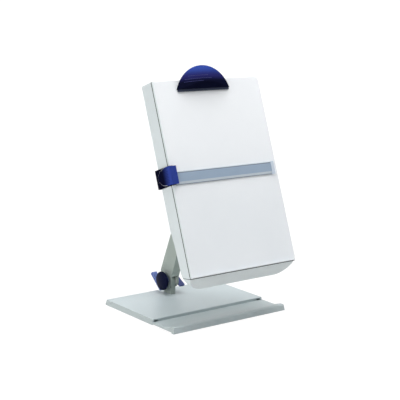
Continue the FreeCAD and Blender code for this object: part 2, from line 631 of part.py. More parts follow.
def makeBracket():
    # a pad on the back of the shell with two lugs that take the tip of the arm
    body = newBody("board_bracket", BOARD)
    plate = newSketch(body, "XZ_Plane", "-board_depth")
    block(plate, "-pad_width / 2", "pad_width / 2", "pin_height - pad_height / 2",
          "pin_height + pad_height / 2")
    pad(body, plate, "pad_gauge", turned=True)
    side = newSketch(body, "YZ_Plane")
    outline(side, [("board_depth", "pin_height - lug_foot"), (PIN_Y, "pin_height - lug_radius"),
                   (PIN_Y, "pin_height + lug_radius"), ("board_depth", "pin_height + lug_foot")])
    pad(body, side, f"2 * {LUG_OUT}", midplane=True)
    tip = newSketch(body, "YZ_Plane")
    pad(body, ring(tip, PIN_Y, "pin_height", "lug_radius"), f"2 * {LUG_OUT}", midplane=True)
    gap = newSketch(body, "YZ_Plane")
    block(gap, "board_depth + pad_gauge", f"{PIN_Y} + 2 * lug_radius", "pin_height - pad_height",
          "pin_height + pad_height")
    pocket(body, gap, f"2 * {LUG_IN}", midplane=True)
    bore = newSketch(body, "YZ_Plane")
    ring(bore, PIN_Y, "pin_height", "pin_radius + turn_gap")
    pocket(body, bore, f"4 * {LUG_OUT}", midplane=True)
    holes = newSketch(body, "XZ_Plane")
    for x, z in PAD_SCREWS:
        ring(holes, x, z, "screw_radius + turn_gap")
    pocket(body, holes, "2 * board_depth")
    pin = rod("board_pin", "x", "pin_radius", f"2 * {LUG_OUT}", (f"-{LUG_OUT}", PIN_Y, "pin_height"))
    piece(pin, "board_pin", BOARD)
    for k, (x, z) in enumerate(PAD_SCREWS, 1):
        padScrew(f"bracket_screw_{k}", x, z)


# ---- clip on the top edge of the board ----

def dome(name, inset):
    # the bulged front of the clip: a lens, cut off by a barrel whose axis lies along X
    barrel = "((clip_rise * clip_rise / 4 + clip_bulge * clip_bulge) / (2 * clip_bulge))"
    ball = doc.addObject("Part::Sphere", name + "Ball")
    tie(ball, "Radius", f"dome_radius - {inset}")
    tie(ball, "Placement.Base.x", "clip_offset")
    tie(ball, "Placement.Base.y", f"{REST} + sqrt(dome_radius * dome_radius - clip_radius * clip_radius)")
    tie(ball, "Placement.Base.z", f"{CREST} - clip_radius")
    drum = rod(name + "Drum", "x", f"{barrel} - {inset}", "4 * clip_radius",
               ("clip_offset - 2 * clip_radius", f"{REST} - clip_bulge + {barrel}",
                f"{CLIP_FOOT} + clip_rise / 2"))
    half = box(name + "Half", ("clip_offset - 2 * clip_radius", f"{REST} - 2 * clip_bulge",
                               f"{CLIP_FOOT} - clip_bulge"),
               ("clip_offset + 2 * clip_radius", REST, f"{CREST} + clip_bulge"))
    return common(name, ball, drum, half)


def segment(name, inset, low, high):
    # a flat slice of the clip's outline
    disc = rod(name + "Disc", "y", f"clip_radius - {inset}", f"({high}) - ({low})",
               ("clip_offset", low, f"{CREST} - clip_radius"))
    over = box(name + "Over",
               ("clip_offset - clip_radius", f"({low}) - clip_gauge", f"{CLIP_FOOT} + {inset}"),
               ("clip_offset + clip_radius", f"({high}) + clip_gauge", f"{CREST} + clip_gauge"))
    return common(name, disc, over)


def makeJaw():
    foot = FreeCAD.Vector(0, number(FACE), number(CLIP_FOOT))
    swing = FreeCAD.Placement(FreeCAD.Vector(), FreeCAD.Rotation(X_AXIS, number("clip_lean")), foot)
    solid = fuse("clip_solid", dome("clip_dome", "0"), segment("clip_rim", "0", REST, FACE))
    room = fuse("clip_room", dome("clip_hollow", "clip_gauge"),
                segment("clip_mouth", "clip_gauge", f"{REST} - clip_lip / 8", f"{FACE} + clip_gauge"))
    lugs = []
    for name, start in (("clip_lug_left", f"clip_offset - {LUG_END}"),
                        ("clip_lug_right", f"clip_offset + {LUG_START}")):
        low = f"{PIVOT_Z} - ear_radius"
        end = (f"{start} + ear_gauge", f"{FACE} + ear_radius", f"{PIVOT_Z} + ear_radius")
        lug = box(name, (start, f"{REST} - clip_bulge", low), end)
        heel = box(name + "Heel", (start, REST, low), end)
        zone = fuse(name + "Zone", dome(name + "Dome", "clip_gauge / 2"), heel)
        lugs.append(common(name + "Trim", lug, zone))
    bore = rod("clip_bore", "x", "pivot_radius + turn_gap", f"2 * {LUG_END}",
               (f"clip_offset - {LUG_END}", PIVOT_Y, PIVOT_Z))
    whole = fuse("clip_whole", cut("clip_shell", solid, room), *lugs)
    piece(cut("clip_jaw", whole, bore), "clip_jaw", BOARD.multiply(swing))


def makeSaddle():
    # a plate on the top edge of the board with two ears that reach forward to the clip's pin
    pin = rod("clip_pin", "x", "pivot_radius", f"2 * {LUG_END}", (f"clip_offset - {LUG_END}", *PIN_AXIS))
    piece(pin, "clip_pin", BOARD)
    plate = box("saddle_plate", ("clip_offset - saddle_width / 2", "seam_gap", "board_height"),
                ("clip_offset + saddle_width / 2", "saddle_depth", "board_height + saddle_gauge"))
    ears = []
    for name, start in (("saddle_ear_left", "clip_offset - saddle_width / 2"),
                        ("saddle_ear_right", "clip_offset + saddle_width / 2 - ear_gauge")):
        arm = box(name, (start, PIN_AXIS[0], "board_height + clip_gap"),
                  (f"{start} + ear_gauge", "saddle_depth", f"{PIN_AXIS[1]} + ear_radius"))
        ears += [arm, rod(name + "Nose", "x", "ear_radius", "ear_gauge", (start, *PIN_AXIS))]
    bore = rod("saddle_bore", "x", "pivot_radius + turn_gap", "2 * clip_radius",
               ("clip_offset - clip_radius", *PIN_AXIS))
    piece(cut("clip_saddle", fuse("saddle_solid", plate, *ears), bore), "clip_saddle", BOARD)
    coil = rod("coil_outer", "x", "coil_radius", "coil_length", ("clip_offset - coil_length / 2", *PIN_AXIS))
    hole = rod("coil_inner", "x", "pivot_radius + clip_gap", "2 * coil_length",
               ("clip_offset - coil_length", *PIN_AXIS))
    piece(cut("clip_spring", coil, hole), "clip_spring", BOARD)


# ---- line guide and the slider that carries it ----

def makeSlider():
    body = newBody("slider_body", BOARD)
    plan = newSketch(body, "XY_Plane", "slider_foot")
    outline(plan, [(SLIDER_LEFT, SHOE), (GUIDE_START, SHOE), (GUIDE_START, SKIN),
                   (f"{LEFT} - side_gap", SKIN), (f"{LEFT} - side_gap", SLIDER_BACK),
                   (f"{LEFT} + slider_reach", SLIDER_BACK),
                   (f"{LEFT} + slider_reach", f"{SLIDER_BACK} + slider_gauge"),
                   (SLIDER_LEFT, f"{SLIDER_BACK} + slider_gauge")])
    pad(body, plan, "slider_height")
    seat = newSketch(body, "XZ_Plane", f"-{SLIDER_BACK}")
    block(seat, f"{LEFT} + felt_inset", f"{LEFT} + slider_reach - felt_inset",
          "slider_foot + felt_inset", f"{SLIDER_TOP} - felt_inset")
    pocket(body, seat, "felt_gauge")
    felt = box("slider_felt", (f"{LEFT} + felt_inset + turn_gap", f"{SLIDER_BACK} - felt_proud",
                               "slider_foot + felt_inset + turn_gap"),
               (f"{LEFT} + slider_reach - felt_inset - turn_gap", f"{SLIDER_BACK} + felt_gauge",
                f"{SLIDER_TOP} - felt_inset - turn_gap"))
    piece(felt, "slider_felt", BOARD)


def makeThumb():
    # a raised pad that wraps the front corner of the slider and ends in a round tip on its side
    middle = "(slider_foot + slider_height / 2)"
    half = "(slider_height / 2 - thumb_inset)"
    tip = f"({SHOE} + thumb_tip - {half})"
    corner = (f"{SLIDER_LEFT} - thumb_gauge", f"{SHOE} - thumb_gauge", f"{middle} - {half}")
    wing = box("thumb_wing", corner, (SLIDER_LEFT, tip, f"{middle} + {half}"))
    nose = rod("thumb_nose", "x", half, "thumb_gauge", (corner[0], tip, middle))
    face = box("thumb_face", corner, (f"{LEFT} + thumb_width", SHOE, f"{middle} + {half}"))
    solid = fuse("thumb_solid", wing, nose, face)
    rim = doc.addObject("Part::Fillet", "thumb_rim")
    rim.Base = solid
    doc.recompute()
    size = number("thumb_round")
    rim.Edges = [(k, size, size) for k, edge in enumerate(solid.Shape.Edges, 1)
                 if along(edge, Z_AXIS) and near(edge.CenterOfMass.x, corner[0])
                 and near(edge.CenterOfMass.y, corner[1])]
    piece(rim, "slider_thumb", BOARD)


def makeGuide():
    body = newBody("line_guide", BOARD)
    side = newSketch(body, "YZ_Plane", GUIDE_START)
    outline(side, [(GUIDE_BACK, GUIDE_TOP), (SHOE, GUIDE_TOP), (SHOE, f"{GUIDE_FOOT} + guide_bevel"),
                   (f"{GUIDE_BACK} - guide_edge", GUIDE_FOOT), (GUIDE_BACK, GUIDE_FOOT)])
    pad(body, side, f"{GUIDE_END} - {GUIDE_START}")
    body = newBody("guide_end_cap", BOARD)
    side = newSketch(body, "YZ_Plane", GUIDE_END)
    block(side, f"{SHOE} - cap_proud", GUIDE_BACK, f"{GUIDE_FOOT} - cap_lap", f"{GUIDE_TOP} + cap_lap")
    pad(body, side, "cap_length")


for make in (makeCover, makeFloor, makeFeet, makePost, makeBaseFixings, makeGuides, makeDrawer,
             makeArm, makeArmCover, makeWashers, makeLevers, makeShell, makePanel, makeBracket,
             makeJaw, makeSaddle, makeSlider, makeThumb, makeGuide):
    make()
doc.recompute()
for item in doc.Objects:
    if "Invalid" in item.State or "Error" in item.State:
        raise ValueError(f"{item.Label} failed: {item.State}")
for item in PIECES:
    shape = item.Shape
    if shape.isNull() or not shape.isValid() or len(shape.Solids) != 1:
        raise ValueError(f"{item.Label} is not one valid solid")

os.makedirs("parts", exist_ok=True)
for item in PIECES:
    item.Shape.exportStep(f"parts/{item.Label}.step")
print(len(PIECES), "pieces")
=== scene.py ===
import math

import bmesh
import bpy
from mathutils import Matrix, Vector
from mathutils.bvhtree import BVHTree


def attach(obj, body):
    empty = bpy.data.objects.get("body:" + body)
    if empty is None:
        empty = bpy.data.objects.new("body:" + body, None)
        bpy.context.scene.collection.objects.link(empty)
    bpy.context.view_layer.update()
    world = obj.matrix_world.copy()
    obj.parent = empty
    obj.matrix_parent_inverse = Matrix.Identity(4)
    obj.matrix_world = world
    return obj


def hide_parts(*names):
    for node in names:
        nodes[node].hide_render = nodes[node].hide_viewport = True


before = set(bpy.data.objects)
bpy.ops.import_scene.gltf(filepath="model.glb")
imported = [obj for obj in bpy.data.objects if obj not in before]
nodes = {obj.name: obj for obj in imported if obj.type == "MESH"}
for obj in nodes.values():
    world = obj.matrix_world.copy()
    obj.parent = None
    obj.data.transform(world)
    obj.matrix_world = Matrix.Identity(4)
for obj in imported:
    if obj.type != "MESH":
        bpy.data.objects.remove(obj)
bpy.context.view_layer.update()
scene = bpy.context.scene

hair = 0.0001  # a tenth of a millimetre, for telling one face or edge from the next
sharpAngle = 38  # degrees, past which a small part's edge stays crisp

# where the tilted board is: its panel's foot, the way up it and the way through it
board = {"foot": Vector((0, -0.128954, 0.095802)), "tilt": 20.3, "tall": 0.314}
board["up"] = Vector((0, math.sin(math.radians(board["tilt"])), math.cos(math.radians(board["tilt"]))))
board["back"] = Vector((0, board["up"].z, -board["up"].y))


def onBoard(x, depth, height):
    return board["foot"] + Vector((x, 0, 0)) + board["back"] * depth + board["up"] * height


def boardPlace(point):
    # across, through and up the board
    offset = point - board["foot"]
    return offset.x, offset.dot(board["back"]), offset.dot(board["up"])


# small helpers for every node tree

def feed(tree, socket, value):
    # a socket takes either a link or a plain value
    if isinstance(value, bpy.types.NodeSocket):
        tree.links.new(value, socket)
    else:
        socket.default_value = value


def mathNode(tree, operation, *values, clamp=False):
    node = tree.nodes.new("ShaderNodeMath")
    node.operation = operation
    node.use_clamp = clamp
    for socket, value in zip(node.inputs, values):
        feed(tree, socket, value)
    return node.outputs[0]


def vectorNode(tree, operation, *values):
    node = tree.nodes.new("ShaderNodeVectorMath")
    node.operation = operation
    for socket, value in zip(node.inputs, values):
        feed(tree, socket, value)
    return node


def noiseNode(tree, vector, scale, detail, roughness):
    node = tree.nodes.new("ShaderNodeTexNoise")
    for label, value in (("Vector", vector), ("Scale", scale), ("Detail", detail), ("Roughness", roughness)):
        feed(tree, node.inputs[label], value)
    return node.outputs["Fac"]


def mixColour(tree, factor, a, b):
    node = tree.nodes.new("ShaderNodeMix")
    node.data_type = "RGBA"
    tree.links.new(factor, node.inputs[0])
    for socket, colour in ((node.inputs[6], a), (node.inputs[7], b)):
        feed(tree, socket, (*colour, 1.0) if isinstance(colour, tuple) else colour)
    return node.outputs[2]


# shader groups that several finishes share

def newGroup(name, inputs, outputs):
    group = bpy.data.node_groups.new(name, "ShaderNodeTree")
    for label, kind, value in inputs:
        socket = group.interface.new_socket(label, in_out="INPUT", socket_type=kind)
        if value is not None:
            socket.default_value = value
    for label in outputs:
        group.interface.new_socket(label, in_out="OUTPUT", socket_type="NodeSocketFloat")
    return group, group.nodes.new("NodeGroupInput"), group.nodes.new("NodeGroupOutput")


moulding = {"fine": (3.0, 0.6), "cloud": (3.0, 0.55), "streakScale": 95.0, "streak": (4.0, 0.7),
            "stretch": (1.0, 6.0, 2.5), "markFrom": 0.66, "markGain": 5.0, "flattened": 0.4}


def buildMouldedGrain():
    # fine spark texture, broad cloudiness and a few rubbed marks, as on moulded plastic
    group, enter, leave = newGroup(
        "mouldedGrain",
        (("Vector", "NodeSocketVector", None), ("Grain Scale", "NodeSocketFloat", 2600.0),
         ("Cloud Scale", "NodeSocketFloat", 14.0), ("Rub", "NodeSocketFloat", 0.5)),
        ("Height", "Cloud", "Rubbed"))
    where = enter.outputs["Vector"]
    fine = noiseNode(group, where, enter.outputs["Grain Scale"], *moulding["fine"])
    cloud = noiseNode(group, where, enter.outputs["Cloud Scale"], *moulding["cloud"])
    stretched = vectorNode(group, "MULTIPLY", where, moulding["stretch"])
    streak = noiseNode(group, stretched.outputs[0], moulding["streakScale"], *moulding["streak"])
    marks = mathNode(group, "SUBTRACT", streak, moulding["markFrom"], clamp=True)
    marks = mathNode(group, "MULTIPLY", marks, moulding["markGain"], clamp=True)
    rubbed = mathNode(group, "MULTIPLY", marks, enter.outputs["Rub"])
    height = mathNode(group, "SUBTRACT", fine, mathNode(group, "MULTIPLY", rubbed, moulding["flattened"]))
    for label, source in (("Height", height), ("Cloud", cloud), ("Rubbed", rubbed)):
        group.links.new(source, leave.inputs[label])
    return group


settling = {"facingFrom": 0.5, "facingGain": 2.0, "speckScale": 60.0, "speck": (5.0, 0.7), "patchFrom": 0.42,
            "patchGain": 3.0}


def buildDust():
    # settles in patches on what faces up
    group, enter, leave = newGroup(
        "settledDust", (("Vector", "NodeSocketVector", None), ("Amount", "NodeSocketFloat", 0.3)), ("Mask",))
    split = group.nodes.new("ShaderNodeSeparateXYZ")
    group.links.new(group.nodes.new("ShaderNodeNewGeometry").outputs["Normal"], split.inputs[0])
    upward = mathNode(group, "SUBTRACT", split.outputs["Z"], settling["facingFrom"], clamp=True)
    facing = mathNode(group, "MULTIPLY", upward, settling["facingGain"])
    speck = noiseNode(group, enter.outputs["Vector"], settling["speckScale"], *settling["speck"])
    patch = mathNode(group, "SUBTRACT", speck, settling["patchFrom"], clamp=True)
    patch = mathNode(group, "MULTIPLY", patch, settling["patchGain"], clamp=True)
    mask = mathNode(group, "MULTIPLY", mathNode(group, "MULTIPLY", facing, patch), enter.outputs["Amount"])
    group.links.new(mask, leave.inputs["Mask"])
    return group


def buildFade():
    # 0 before From and 1 past To, along a direction from an origin
    group, enter, leave = newGroup(
        "softFade", (("Vector", "NodeSocketVector", None), ("Origin", "NodeSocketVector", None),
                     ("Direction", "NodeSocketVector", None), ("From", "NodeSocketFloat", 0.0),
                     ("To", "NodeSocketFloat", 0.01)), ("Mask",))
    offset = vectorNode(group, "SUBTRACT", enter.outputs["Vector"], enter.outputs["Origin"])
    along = vectorNode(group, "DOT_PRODUCT", offset.outputs[0], enter.outputs["Direction"])
    ease = group.nodes.new("ShaderNodeMapRange")
    ease.interpolation_type = "SMOOTHSTEP"
    for label, source in (("Value", along.outputs["Value"]), ("From Min", enter.outputs["From"]),
                          ("From Max", enter.outputs["To"])):
        group.links.new(source, ease.inputs[label])
    group.links.new(ease.outputs["Result"], leave.inputs["Mask"])
    return group


mouldedGrain = buildMouldedGrain()
settledDust = buildDust()
softFade = buildFade()
print("shader groups done")


def placeGroup(tree, group, vector, **values):
    node = tree.nodes.new("ShaderNodeGroup")
    node.node_tree = group
    tree.links.new(vector, node.inputs["Vector"])
    for key, value in values.items():
        node.inputs[key.replace("_", " ")].default_value = value
    return node


# the finishes

def newFinish(name):
    material = bpy.data.materials.new(name)
    material.use_nodes = True
    tree = material.node_tree
    where = tree.nodes.new("ShaderNodeTexCoord").outputs["Object"]
    return material, tree, tree.nodes["Principled BSDF"], where


def addBump(tree, shader, height, strength, distance):
    bump = tree.nodes.new("ShaderNodeBump")
    bump.inputs["Strength"].default_value = strength
    bump.inputs["Distance"].default_value = distance
    tree.links.new(height, bump.inputs["Height"])
    tree.links.new(bump.outputs["Normal"], shader.inputs["Normal"])


def plasticMaterial(name, look):
    material, tree, shader, where = newFinish(name)
    grain = placeGroup(tree, mouldedGrain, where, Grain_Scale=look["grain"], Cloud_Scale=look["cloud"],
                       Rub=look["rub"])
    cloud = grain.outputs["Cloud"]
    dust = placeGroup(tree, settledDust, where, Amount=look["dust"]).outputs["Mask"]
    tone = mixColour(tree, cloud, look["dark"], look["light"])
    for direction, start, end, dark, light in look["fades"]:
        fade = placeGroup(tree, softFade, where, Origin=boardFoot, Direction=direction, From=start, To=end)
        tone = mixColour(tree, fade.outputs["Mask"], tone, mixColour(tree, cloud, dark, light))
    worn = mixColour(tree, grain.outputs["Rubbed"], tone, look["worn"])
    tree.links.new(mixColour(tree, dust, worn, look["dustColour"]), shader.inputs["Base Color"])
    spread = mathNode(tree, "MULTIPLY", cloud, look["roughSpread"])
    rough = mathNode(tree, "ADD", spread, look["rough"] - look["roughSpread"] / 2)
    dusty = mathNode(tree, "MULTIPLY", dust, look["dustRough"])
    tree.links.new(mathNode(tree, "ADD", rough, dusty, clamp=True), shader.inputs["Roughness"])
    addBump(tree, shader, grain.outputs["Height"], look["bump"], look["bumpDeep"])
    for label, value in (("Coat Weight", look["coat"]), ("Coat Roughness", look["coatRough"]),
                         ("Specular IOR Level", look["specular"]), ("Specular Tint", (*look["glint"], 1.0))):
        shader.inputs[label].default_value = value
    return material


boardUp, boardBack, boardFoot = (tuple(board[key]) for key in ("up", "back", "foot"))
navyGlint, softGlint = (0.35, 0.45, 1.0), (0.4, 0.5, 1.0)
paleBlueDust, greyDust = (0.3, 0.32, 0.4), (0.2, 0.2, 0.25)
plainLook = {"dark": (0.5, 0.5, 0.5), "light": (0.6, 0.6, 0.6), "worn": (0.6, 0.6, 0.6),
             "dustColour": (0.6, 0.6, 0.58), "grain": 2600.0, "cloud": 14.0, "rub": 0.2, "dust": 0.1,
             "dustRough": 0.3, "rough": 0.5, "roughSpread": 0.1, "bump": 0.25, "bumpDeep": 0.0002,
             "coat": 0.0, "coatRough": 0.2, "specular": 0.4, "glint": (1.0, 1.0, 1.0), "fades": ()}

# a fade is a painted change of tone that stays on the piece whatever the light: its direction on the board,
# where it starts and ends in metres, and the dark and light tones past it
looks = {
    "basePlastic": {"dark": (0.505, 0.58, 0.60), "light": (0.59, 0.665, 0.69), "worn": (0.68, 0.74, 0.75),
                    "rough": 0.4, "coat": 0.1, "coatRough": 0.3, "rub": 0.25, "dust": 0.12},
    # a darker copy of the base's grey for its outer sides: painted shade
    "baseSideShade": {"dark": (0.40, 0.455, 0.455), "light": (0.47, 0.525, 0.525), "worn": (0.56, 0.61, 0.61),
                 "rough": 0.45, "rub": 0.2, "dust": 0.05},
    "drawerPlastic": {"dark": (0.44, 0.515, 0.53), "light": (0.525, 0.595, 0.61), "worn": (0.64, 0.70, 0.71),
                      "rough": 0.4, "coat": 0.1, "coatRough": 0.3, "rub": 0.3, "dust": 0.12},
    "boardPlastic": {"dark": (0.585, 0.635, 0.64), "light": (0.635, 0.685, 0.695), "worn": (0.71, 0.74, 0.74),
                     "rough": 0.5, "specular": 0.25, "rub": 0.2, "dust": 0.05},
    "panelPlastic": {"dark": (0.745, 0.78, 0.81), "light": (0.79, 0.82, 0.845), "worn": (0.84, 0.86, 0.88),
                     "rough": 0.5, "specular": 0.2, "bump": 0.12, "rub": 0.15, "dust": 0.0,
                     # painted light: the panel is painted lighter towards its top, as if nearer the light
                     # above
                     "fades": ((boardUp, 0.05, 0.26, (0.81, 0.835, 0.86), (0.85, 0.87, 0.89)),)},
    # painted shade: the dark of the seam's gap, the panel's back and edge, the parting groove and the strip
    # under the panel
    "seamShade": {"dark": (0.028, 0.036, 0.032), "light": (0.045, 0.055, 0.05), "rough": 0.8, "specular": 0.1},
    "armPlastic": {"dark": (0.295, 0.345, 0.315), "light": (0.345, 0.395, 0.36), "worn": (0.45, 0.48, 0.45),
                   "rough": 0.45, "rub": 0.3, "dust": 0.1},
    "clipBlue": {"dark": (0.0035, 0.0045, 0.015), "light": (0.0055, 0.0065, 0.022),
                 "worn": (0.02, 0.025, 0.07), "dustColour": paleBlueDust, "rough": 0.3, "glint": navyGlint,
                 "specular": 0.0, "bump": 0.12, "rub": 0.35, "dust": 0.02,
                 # painted light and shade: the clip is near-black low down and brightens to blue towards its
                 # top, for how light falls on its curve
                 "fades": ((boardUp, 0.307, 0.317, (0.015, 0.016, 0.085), (0.022, 0.022, 0.12)),
                           (boardUp, 0.316, 0.331, (0.024, 0.050, 0.25), (0.034, 0.068, 0.32)))},
    "thumbBlue": {"dark": (0.024, 0.043, 0.225), "light": (0.032, 0.055, 0.275), "worn": (0.06, 0.085, 0.32),
                  "dustColour": paleBlueDust, "rough": 0.26, "glint": navyGlint, "specular": 0.0, "bump": 0.1,
                  "rub": 0.3, "dust": 0.02,
                  # painted shade: the pad darkens from blue at its front to near-black along its side, where
                  # it turns away from the light
                  "fades": ((boardBack, -0.007, 0.012, (0.002, 0.0025, 0.012), (0.004, 0.005, 0.022)),)},
    "navyBlack": {"dark": (0.002, 0.0025, 0.009), "light": (0.004, 0.0045, 0.016),
                  "worn": (0.012, 0.014, 0.04), "dustColour": greyDust, "rough": 0.35, "glint": navyGlint,
                  "specular": 0.0, "bump": 0.2, "rub": 0.3, "dust": 0.01},
    "knobBlack": {"dark": (0.003, 0.004, 0.016), "light": (0.006, 0.008, 0.030), "worn": (0.02, 0.02, 0.05),
                  "dustColour": greyDust, "rough": 0.2, "glint": navyGlint, "specular": 0.04, "bump": 0.03,
                  "rub": 0.3, "dust": 0.01},
    "leverBlue": {"dark": (0.085, 0.13, 0.33), "light": (0.12, 0.17, 0.41), "worn": (0.2, 0.25, 0.5),
                  "dustColour": paleBlueDust, "rough": 0.35, "specular": 0.2, "bump": 0.15, "rub": 0.3},
    "paddleBlue": {"dark": (0.040, 0.055, 0.185), "light": (0.062, 0.08, 0.235), "worn": (0.1, 0.12, 0.3),
                   "dustColour": paleBlueDust, "rough": 0.35, "specular": 0.2, "bump": 0.15, "rub": 0.3},
    # the dark strip under the clip's foot: painted shadow
    "clipFootShadow": {"dark": (0.032, 0.04, 0.065), "light": (0.046, 0.056, 0.085), "rough": 0.6,
                  "specular": 0.05, "dust": 0.0, "glint": softGlint},
    "ribBlue": {"dark": (0.035, 0.038, 0.125), "light": (0.055, 0.058, 0.17), "worn": (0.08, 0.09, 0.21),
                "rough": 0.3, "specular": 0.1, "dust": 0.0, "glint": softGlint},
    "dotBlack": {"dark": (0.004, 0.005, 0.02), "light": (0.008, 0.009, 0.035), "rough": 0.4, "specular": 0.0,
                 "dust": 0.0, "glint": navyGlint},
    # a pale rim on the thumb pad: painted highlight
    "edgeGlint": {"dark": (0.34, 0.36, 0.44), "light": (0.46, 0.48, 0.56), "rough": 0.3, "specular": 0.3},
    "capGrey": {"dark": (0.46, 0.53, 0.62), "light": (0.54, 0.61, 0.70), "rough": 0.3, "bump": 0.1},
    "washerPlastic": {"dark": (0.68, 0.68, 0.64), "light": (0.75, 0.75, 0.71), "rough": 0.4},
    "footRubber": {"dark": (0.02, 0.02, 0.02), "light": (0.04, 0.04, 0.04), "worn": (0.08, 0.08, 0.08),
                   "rough": 0.8, "bump": 0.5, "specular": 0.2},
    "feltPile": {"dark": (0.02, 0.02, 0.026), "light": (0.05, 0.05, 0.06), "grain": 5200.0, "rough": 0.95,
                 "bump": 1.0, "specular": 0.1},
}
materials = {name: plasticMaterial(name, {**plainLook, **look}) for name, look in looks.items()}
print("plastics done:", len(looks))

metals = {"brightSteel": {"colour": (0.55, 0.56, 0.57), "rough": 0.22, "lines": 1800.0},
          "zincSheet": {"colour": (0.42, 0.43, 0.44), "rough": 0.34, "lines": 900.0}}
plating = {"cloud": 60.0, "rub": 0.6, "bright": 1.25, "worn": 0.7, "roughSpread": 0.2, "bump": 0.15,
           "bumpDeep": 0.0001}


def metalMaterial(name, metal):
    # drawn or rolled metal: long fine scratches and a blotchy plating
    material, tree, shader, where = newFinish(name)
    grain = placeGroup(tree, mouldedGrain, where, Grain_Scale=metal["lines"], Cloud_Scale=plating["cloud"],
                       Rub=plating["rub"])
    bright, worn = (tuple(min(1.0, c * plating[key]) for c in metal["colour"]) for key in ("bright", "worn"))
    tone = mixColour(tree, grain.outputs["Cloud"], metal["colour"], bright)
    tree.links.new(mixColour(tree, grain.outputs["Rubbed"], tone, worn), shader.inputs["Base Color"])
    spread = mathNode(tree, "MULTIPLY", grain.outputs["Cloud"], plating["roughSpread"])
    tree.links.new(mathNode(tree, "ADD", spread, metal["rough"]), shader.inputs["Roughness"])
    shader.inputs["Metallic"].default_value = 1.0
    addBump(tree, shader, grain.outputs["Height"], plating["bump"], plating["bumpDeep"])
    return material


for name, metal in metals.items():
    materials[name] = metalMaterial(name, metal)

# the bands are painted light and shade along the bar's own edges, in metres up the board: a painted highlight
# on the bevel at its foot and on its top edge, each with a painted dark line
clearBar = {"grain": 900.0, "cloud": 9.0, "rub": 0.5, "dark": (0.32, 0.42, 0.55),
            "light": (0.38, 0.485, 0.61), "worn": (0.5, 0.56, 0.63), "alpha": 0.70, "haze": 0.08,
            "rough": 0.18, "specular": 0.5,
            "bands": ((0.1516, 0.1506, (0.60, 0.67, 0.73)), (0.1478, 0.1472, (0.22, 0.27, 0.33)),
                      (0.1646, 0.1652, (0.17, 0.21, 0.27)), (0.1661, 0.1666, (0.72, 0.80, 0.86)))}


def guideMaterial(name, look):
    # a clear tinted bar: part sheen, part see-through, with a soft haze in it
    material, tree, shader, where = newFinish(name)
    grain = placeGroup(tree, mouldedGrain, where, Grain_Scale=look["grain"], Cloud_Scale=look["cloud"],
                       Rub=look["rub"])
    tone = mixColour(tree, grain.outputs["Cloud"], look["dark"], look["light"])
    tone = mixColour(tree, grain.outputs["Rubbed"], tone, look["worn"])
    for start, end, band in look["bands"]:
        fade = placeGroup(tree, softFade, where, Origin=boardFoot, Direction=boardUp, From=start, To=end)
        tone = mixColour(tree, fade.outputs["Mask"], tone, band)
    tree.links.new(tone, shader.inputs["Base Color"])
    haze = mathNode(tree, "MULTIPLY", grain.outputs["Cloud"], look["haze"])
    tree.links.new(mathNode(tree, "ADD", haze, look["alpha"], clamp=True), shader.inputs["Alpha"])
    shader.inputs["Roughness"].default_value = look["rough"]
    shader.inputs["Specular IOR Level"].default_value = look["specular"]
    return material


materials["tintedClear"] = guideMaterial("tintedClear", clearBar)
print("metals and the clear bar done")


# softened copies of the moulded pieces

def cleanCopy(nodeName):
    # the node's triangles, joined up and gathered into flat faces
    mesh = nodes[nodeName].data.copy()
    shape = bmesh.new()
    shape.from_mesh(mesh)
    bmesh.ops.remove_doubles(shape, verts=shape.verts, dist=2e-6)
    bmesh.ops.dissolve_limit(shape, angle_limit=math.radians(0.5), verts=shape.verts, edges=shape.edges)
    return mesh, shape


soften = {"segments": 2, "angle": 32}  # of every bevel, and degrees past which an edge gets one


def finishCopy(nodeName, mesh, shape, finishes, body, edge):
    # the finishes go in first: changed later, every face would go back to the first of them
    mesh.materials.clear()
    for finish in finishes:
        mesh.materials.append(materials[finish])
    shape.to_mesh(mesh)
    shape.free()
    piece = bpy.data.objects.new(nodeName + "-soft", mesh)
    scene.collection.objects.link(piece)
    for polygon in mesh.polygons:
        polygon.use_smooth = True
    bevel = piece.modifiers.new("edges", "BEVEL")
    bevel.width = edge
    bevel.segments = soften["segments"]
    bevel.limit_method = "ANGLE"
    bevel.angle_limit = math.radians(soften["angle"])
    bevel.use_clamp_overlap = True
    # large faces keep their own direction, so they stay flat beside the soft edges
    shading = piece.modifiers.new("shading", "WEIGHTED_NORMAL")
    shading.mode = "FACE_AREA"
    shading.weight = 100
    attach(piece, body)
    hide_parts(nodeName)


def cutShape(shape, place, normal):
    bmesh.ops.bisect_plane(shape, geom=shape.verts[:] + shape.edges[:] + shape.faces[:], dist=1e-7,
                           plane_co=place, plane_no=normal)


flank = {"facing": 0.7, "from": 0.11}  # the base's and the drawer's outer sides, which get a darker copy of their grey: painted shade


def shadeFlanks(shape):
    for face in shape.faces:
        if abs(face.normal.x) > flank["facing"] and abs(face.calc_center_median().x) > flank["from"]:
            face.material_index = 1


# node, finishes (a second one is the flanks' painted shade), body, slot, soft edge
softened = (
    ("base_cover", ("basePlastic", "baseSideShade"), "base", "base_plastic", 0.0006),
    ("post", ("armPlastic",), "base", "arm_plastic", 0.0006),
    ("drawer_front", ("drawerPlastic", "baseSideShade"), "drawer", "base_plastic", 0.0005),
    ("drawer_tray", ("drawerPlastic",), "drawer", "base_plastic", 0.0003),
    ("arm_channel", ("armPlastic",), "arm", "arm_plastic", 0.0008),
    ("arm_back_cover", ("armPlastic",), "arm", "arm_plastic", 0.0004),
    ("board_bracket", ("armPlastic",), "board", "arm_plastic", 0.0006),
    ("slider_body", ("navyBlack",), "slider", "blue_plastic", 0.0005),
    ("guide_end_cap", ("capGrey",), "slider", "cap_plastic", 0.0006),
    ("line_guide", ("tintedClear",), "slider", "guide_plastic", 0.0003),
    ("clip_jaw", ("clipBlue",), "clip", "blue_plastic", 0.0004),
    ("tilt_lever_right", ("paddleBlue",), "tilt_lever", "blue_plastic", 0.0005),
)
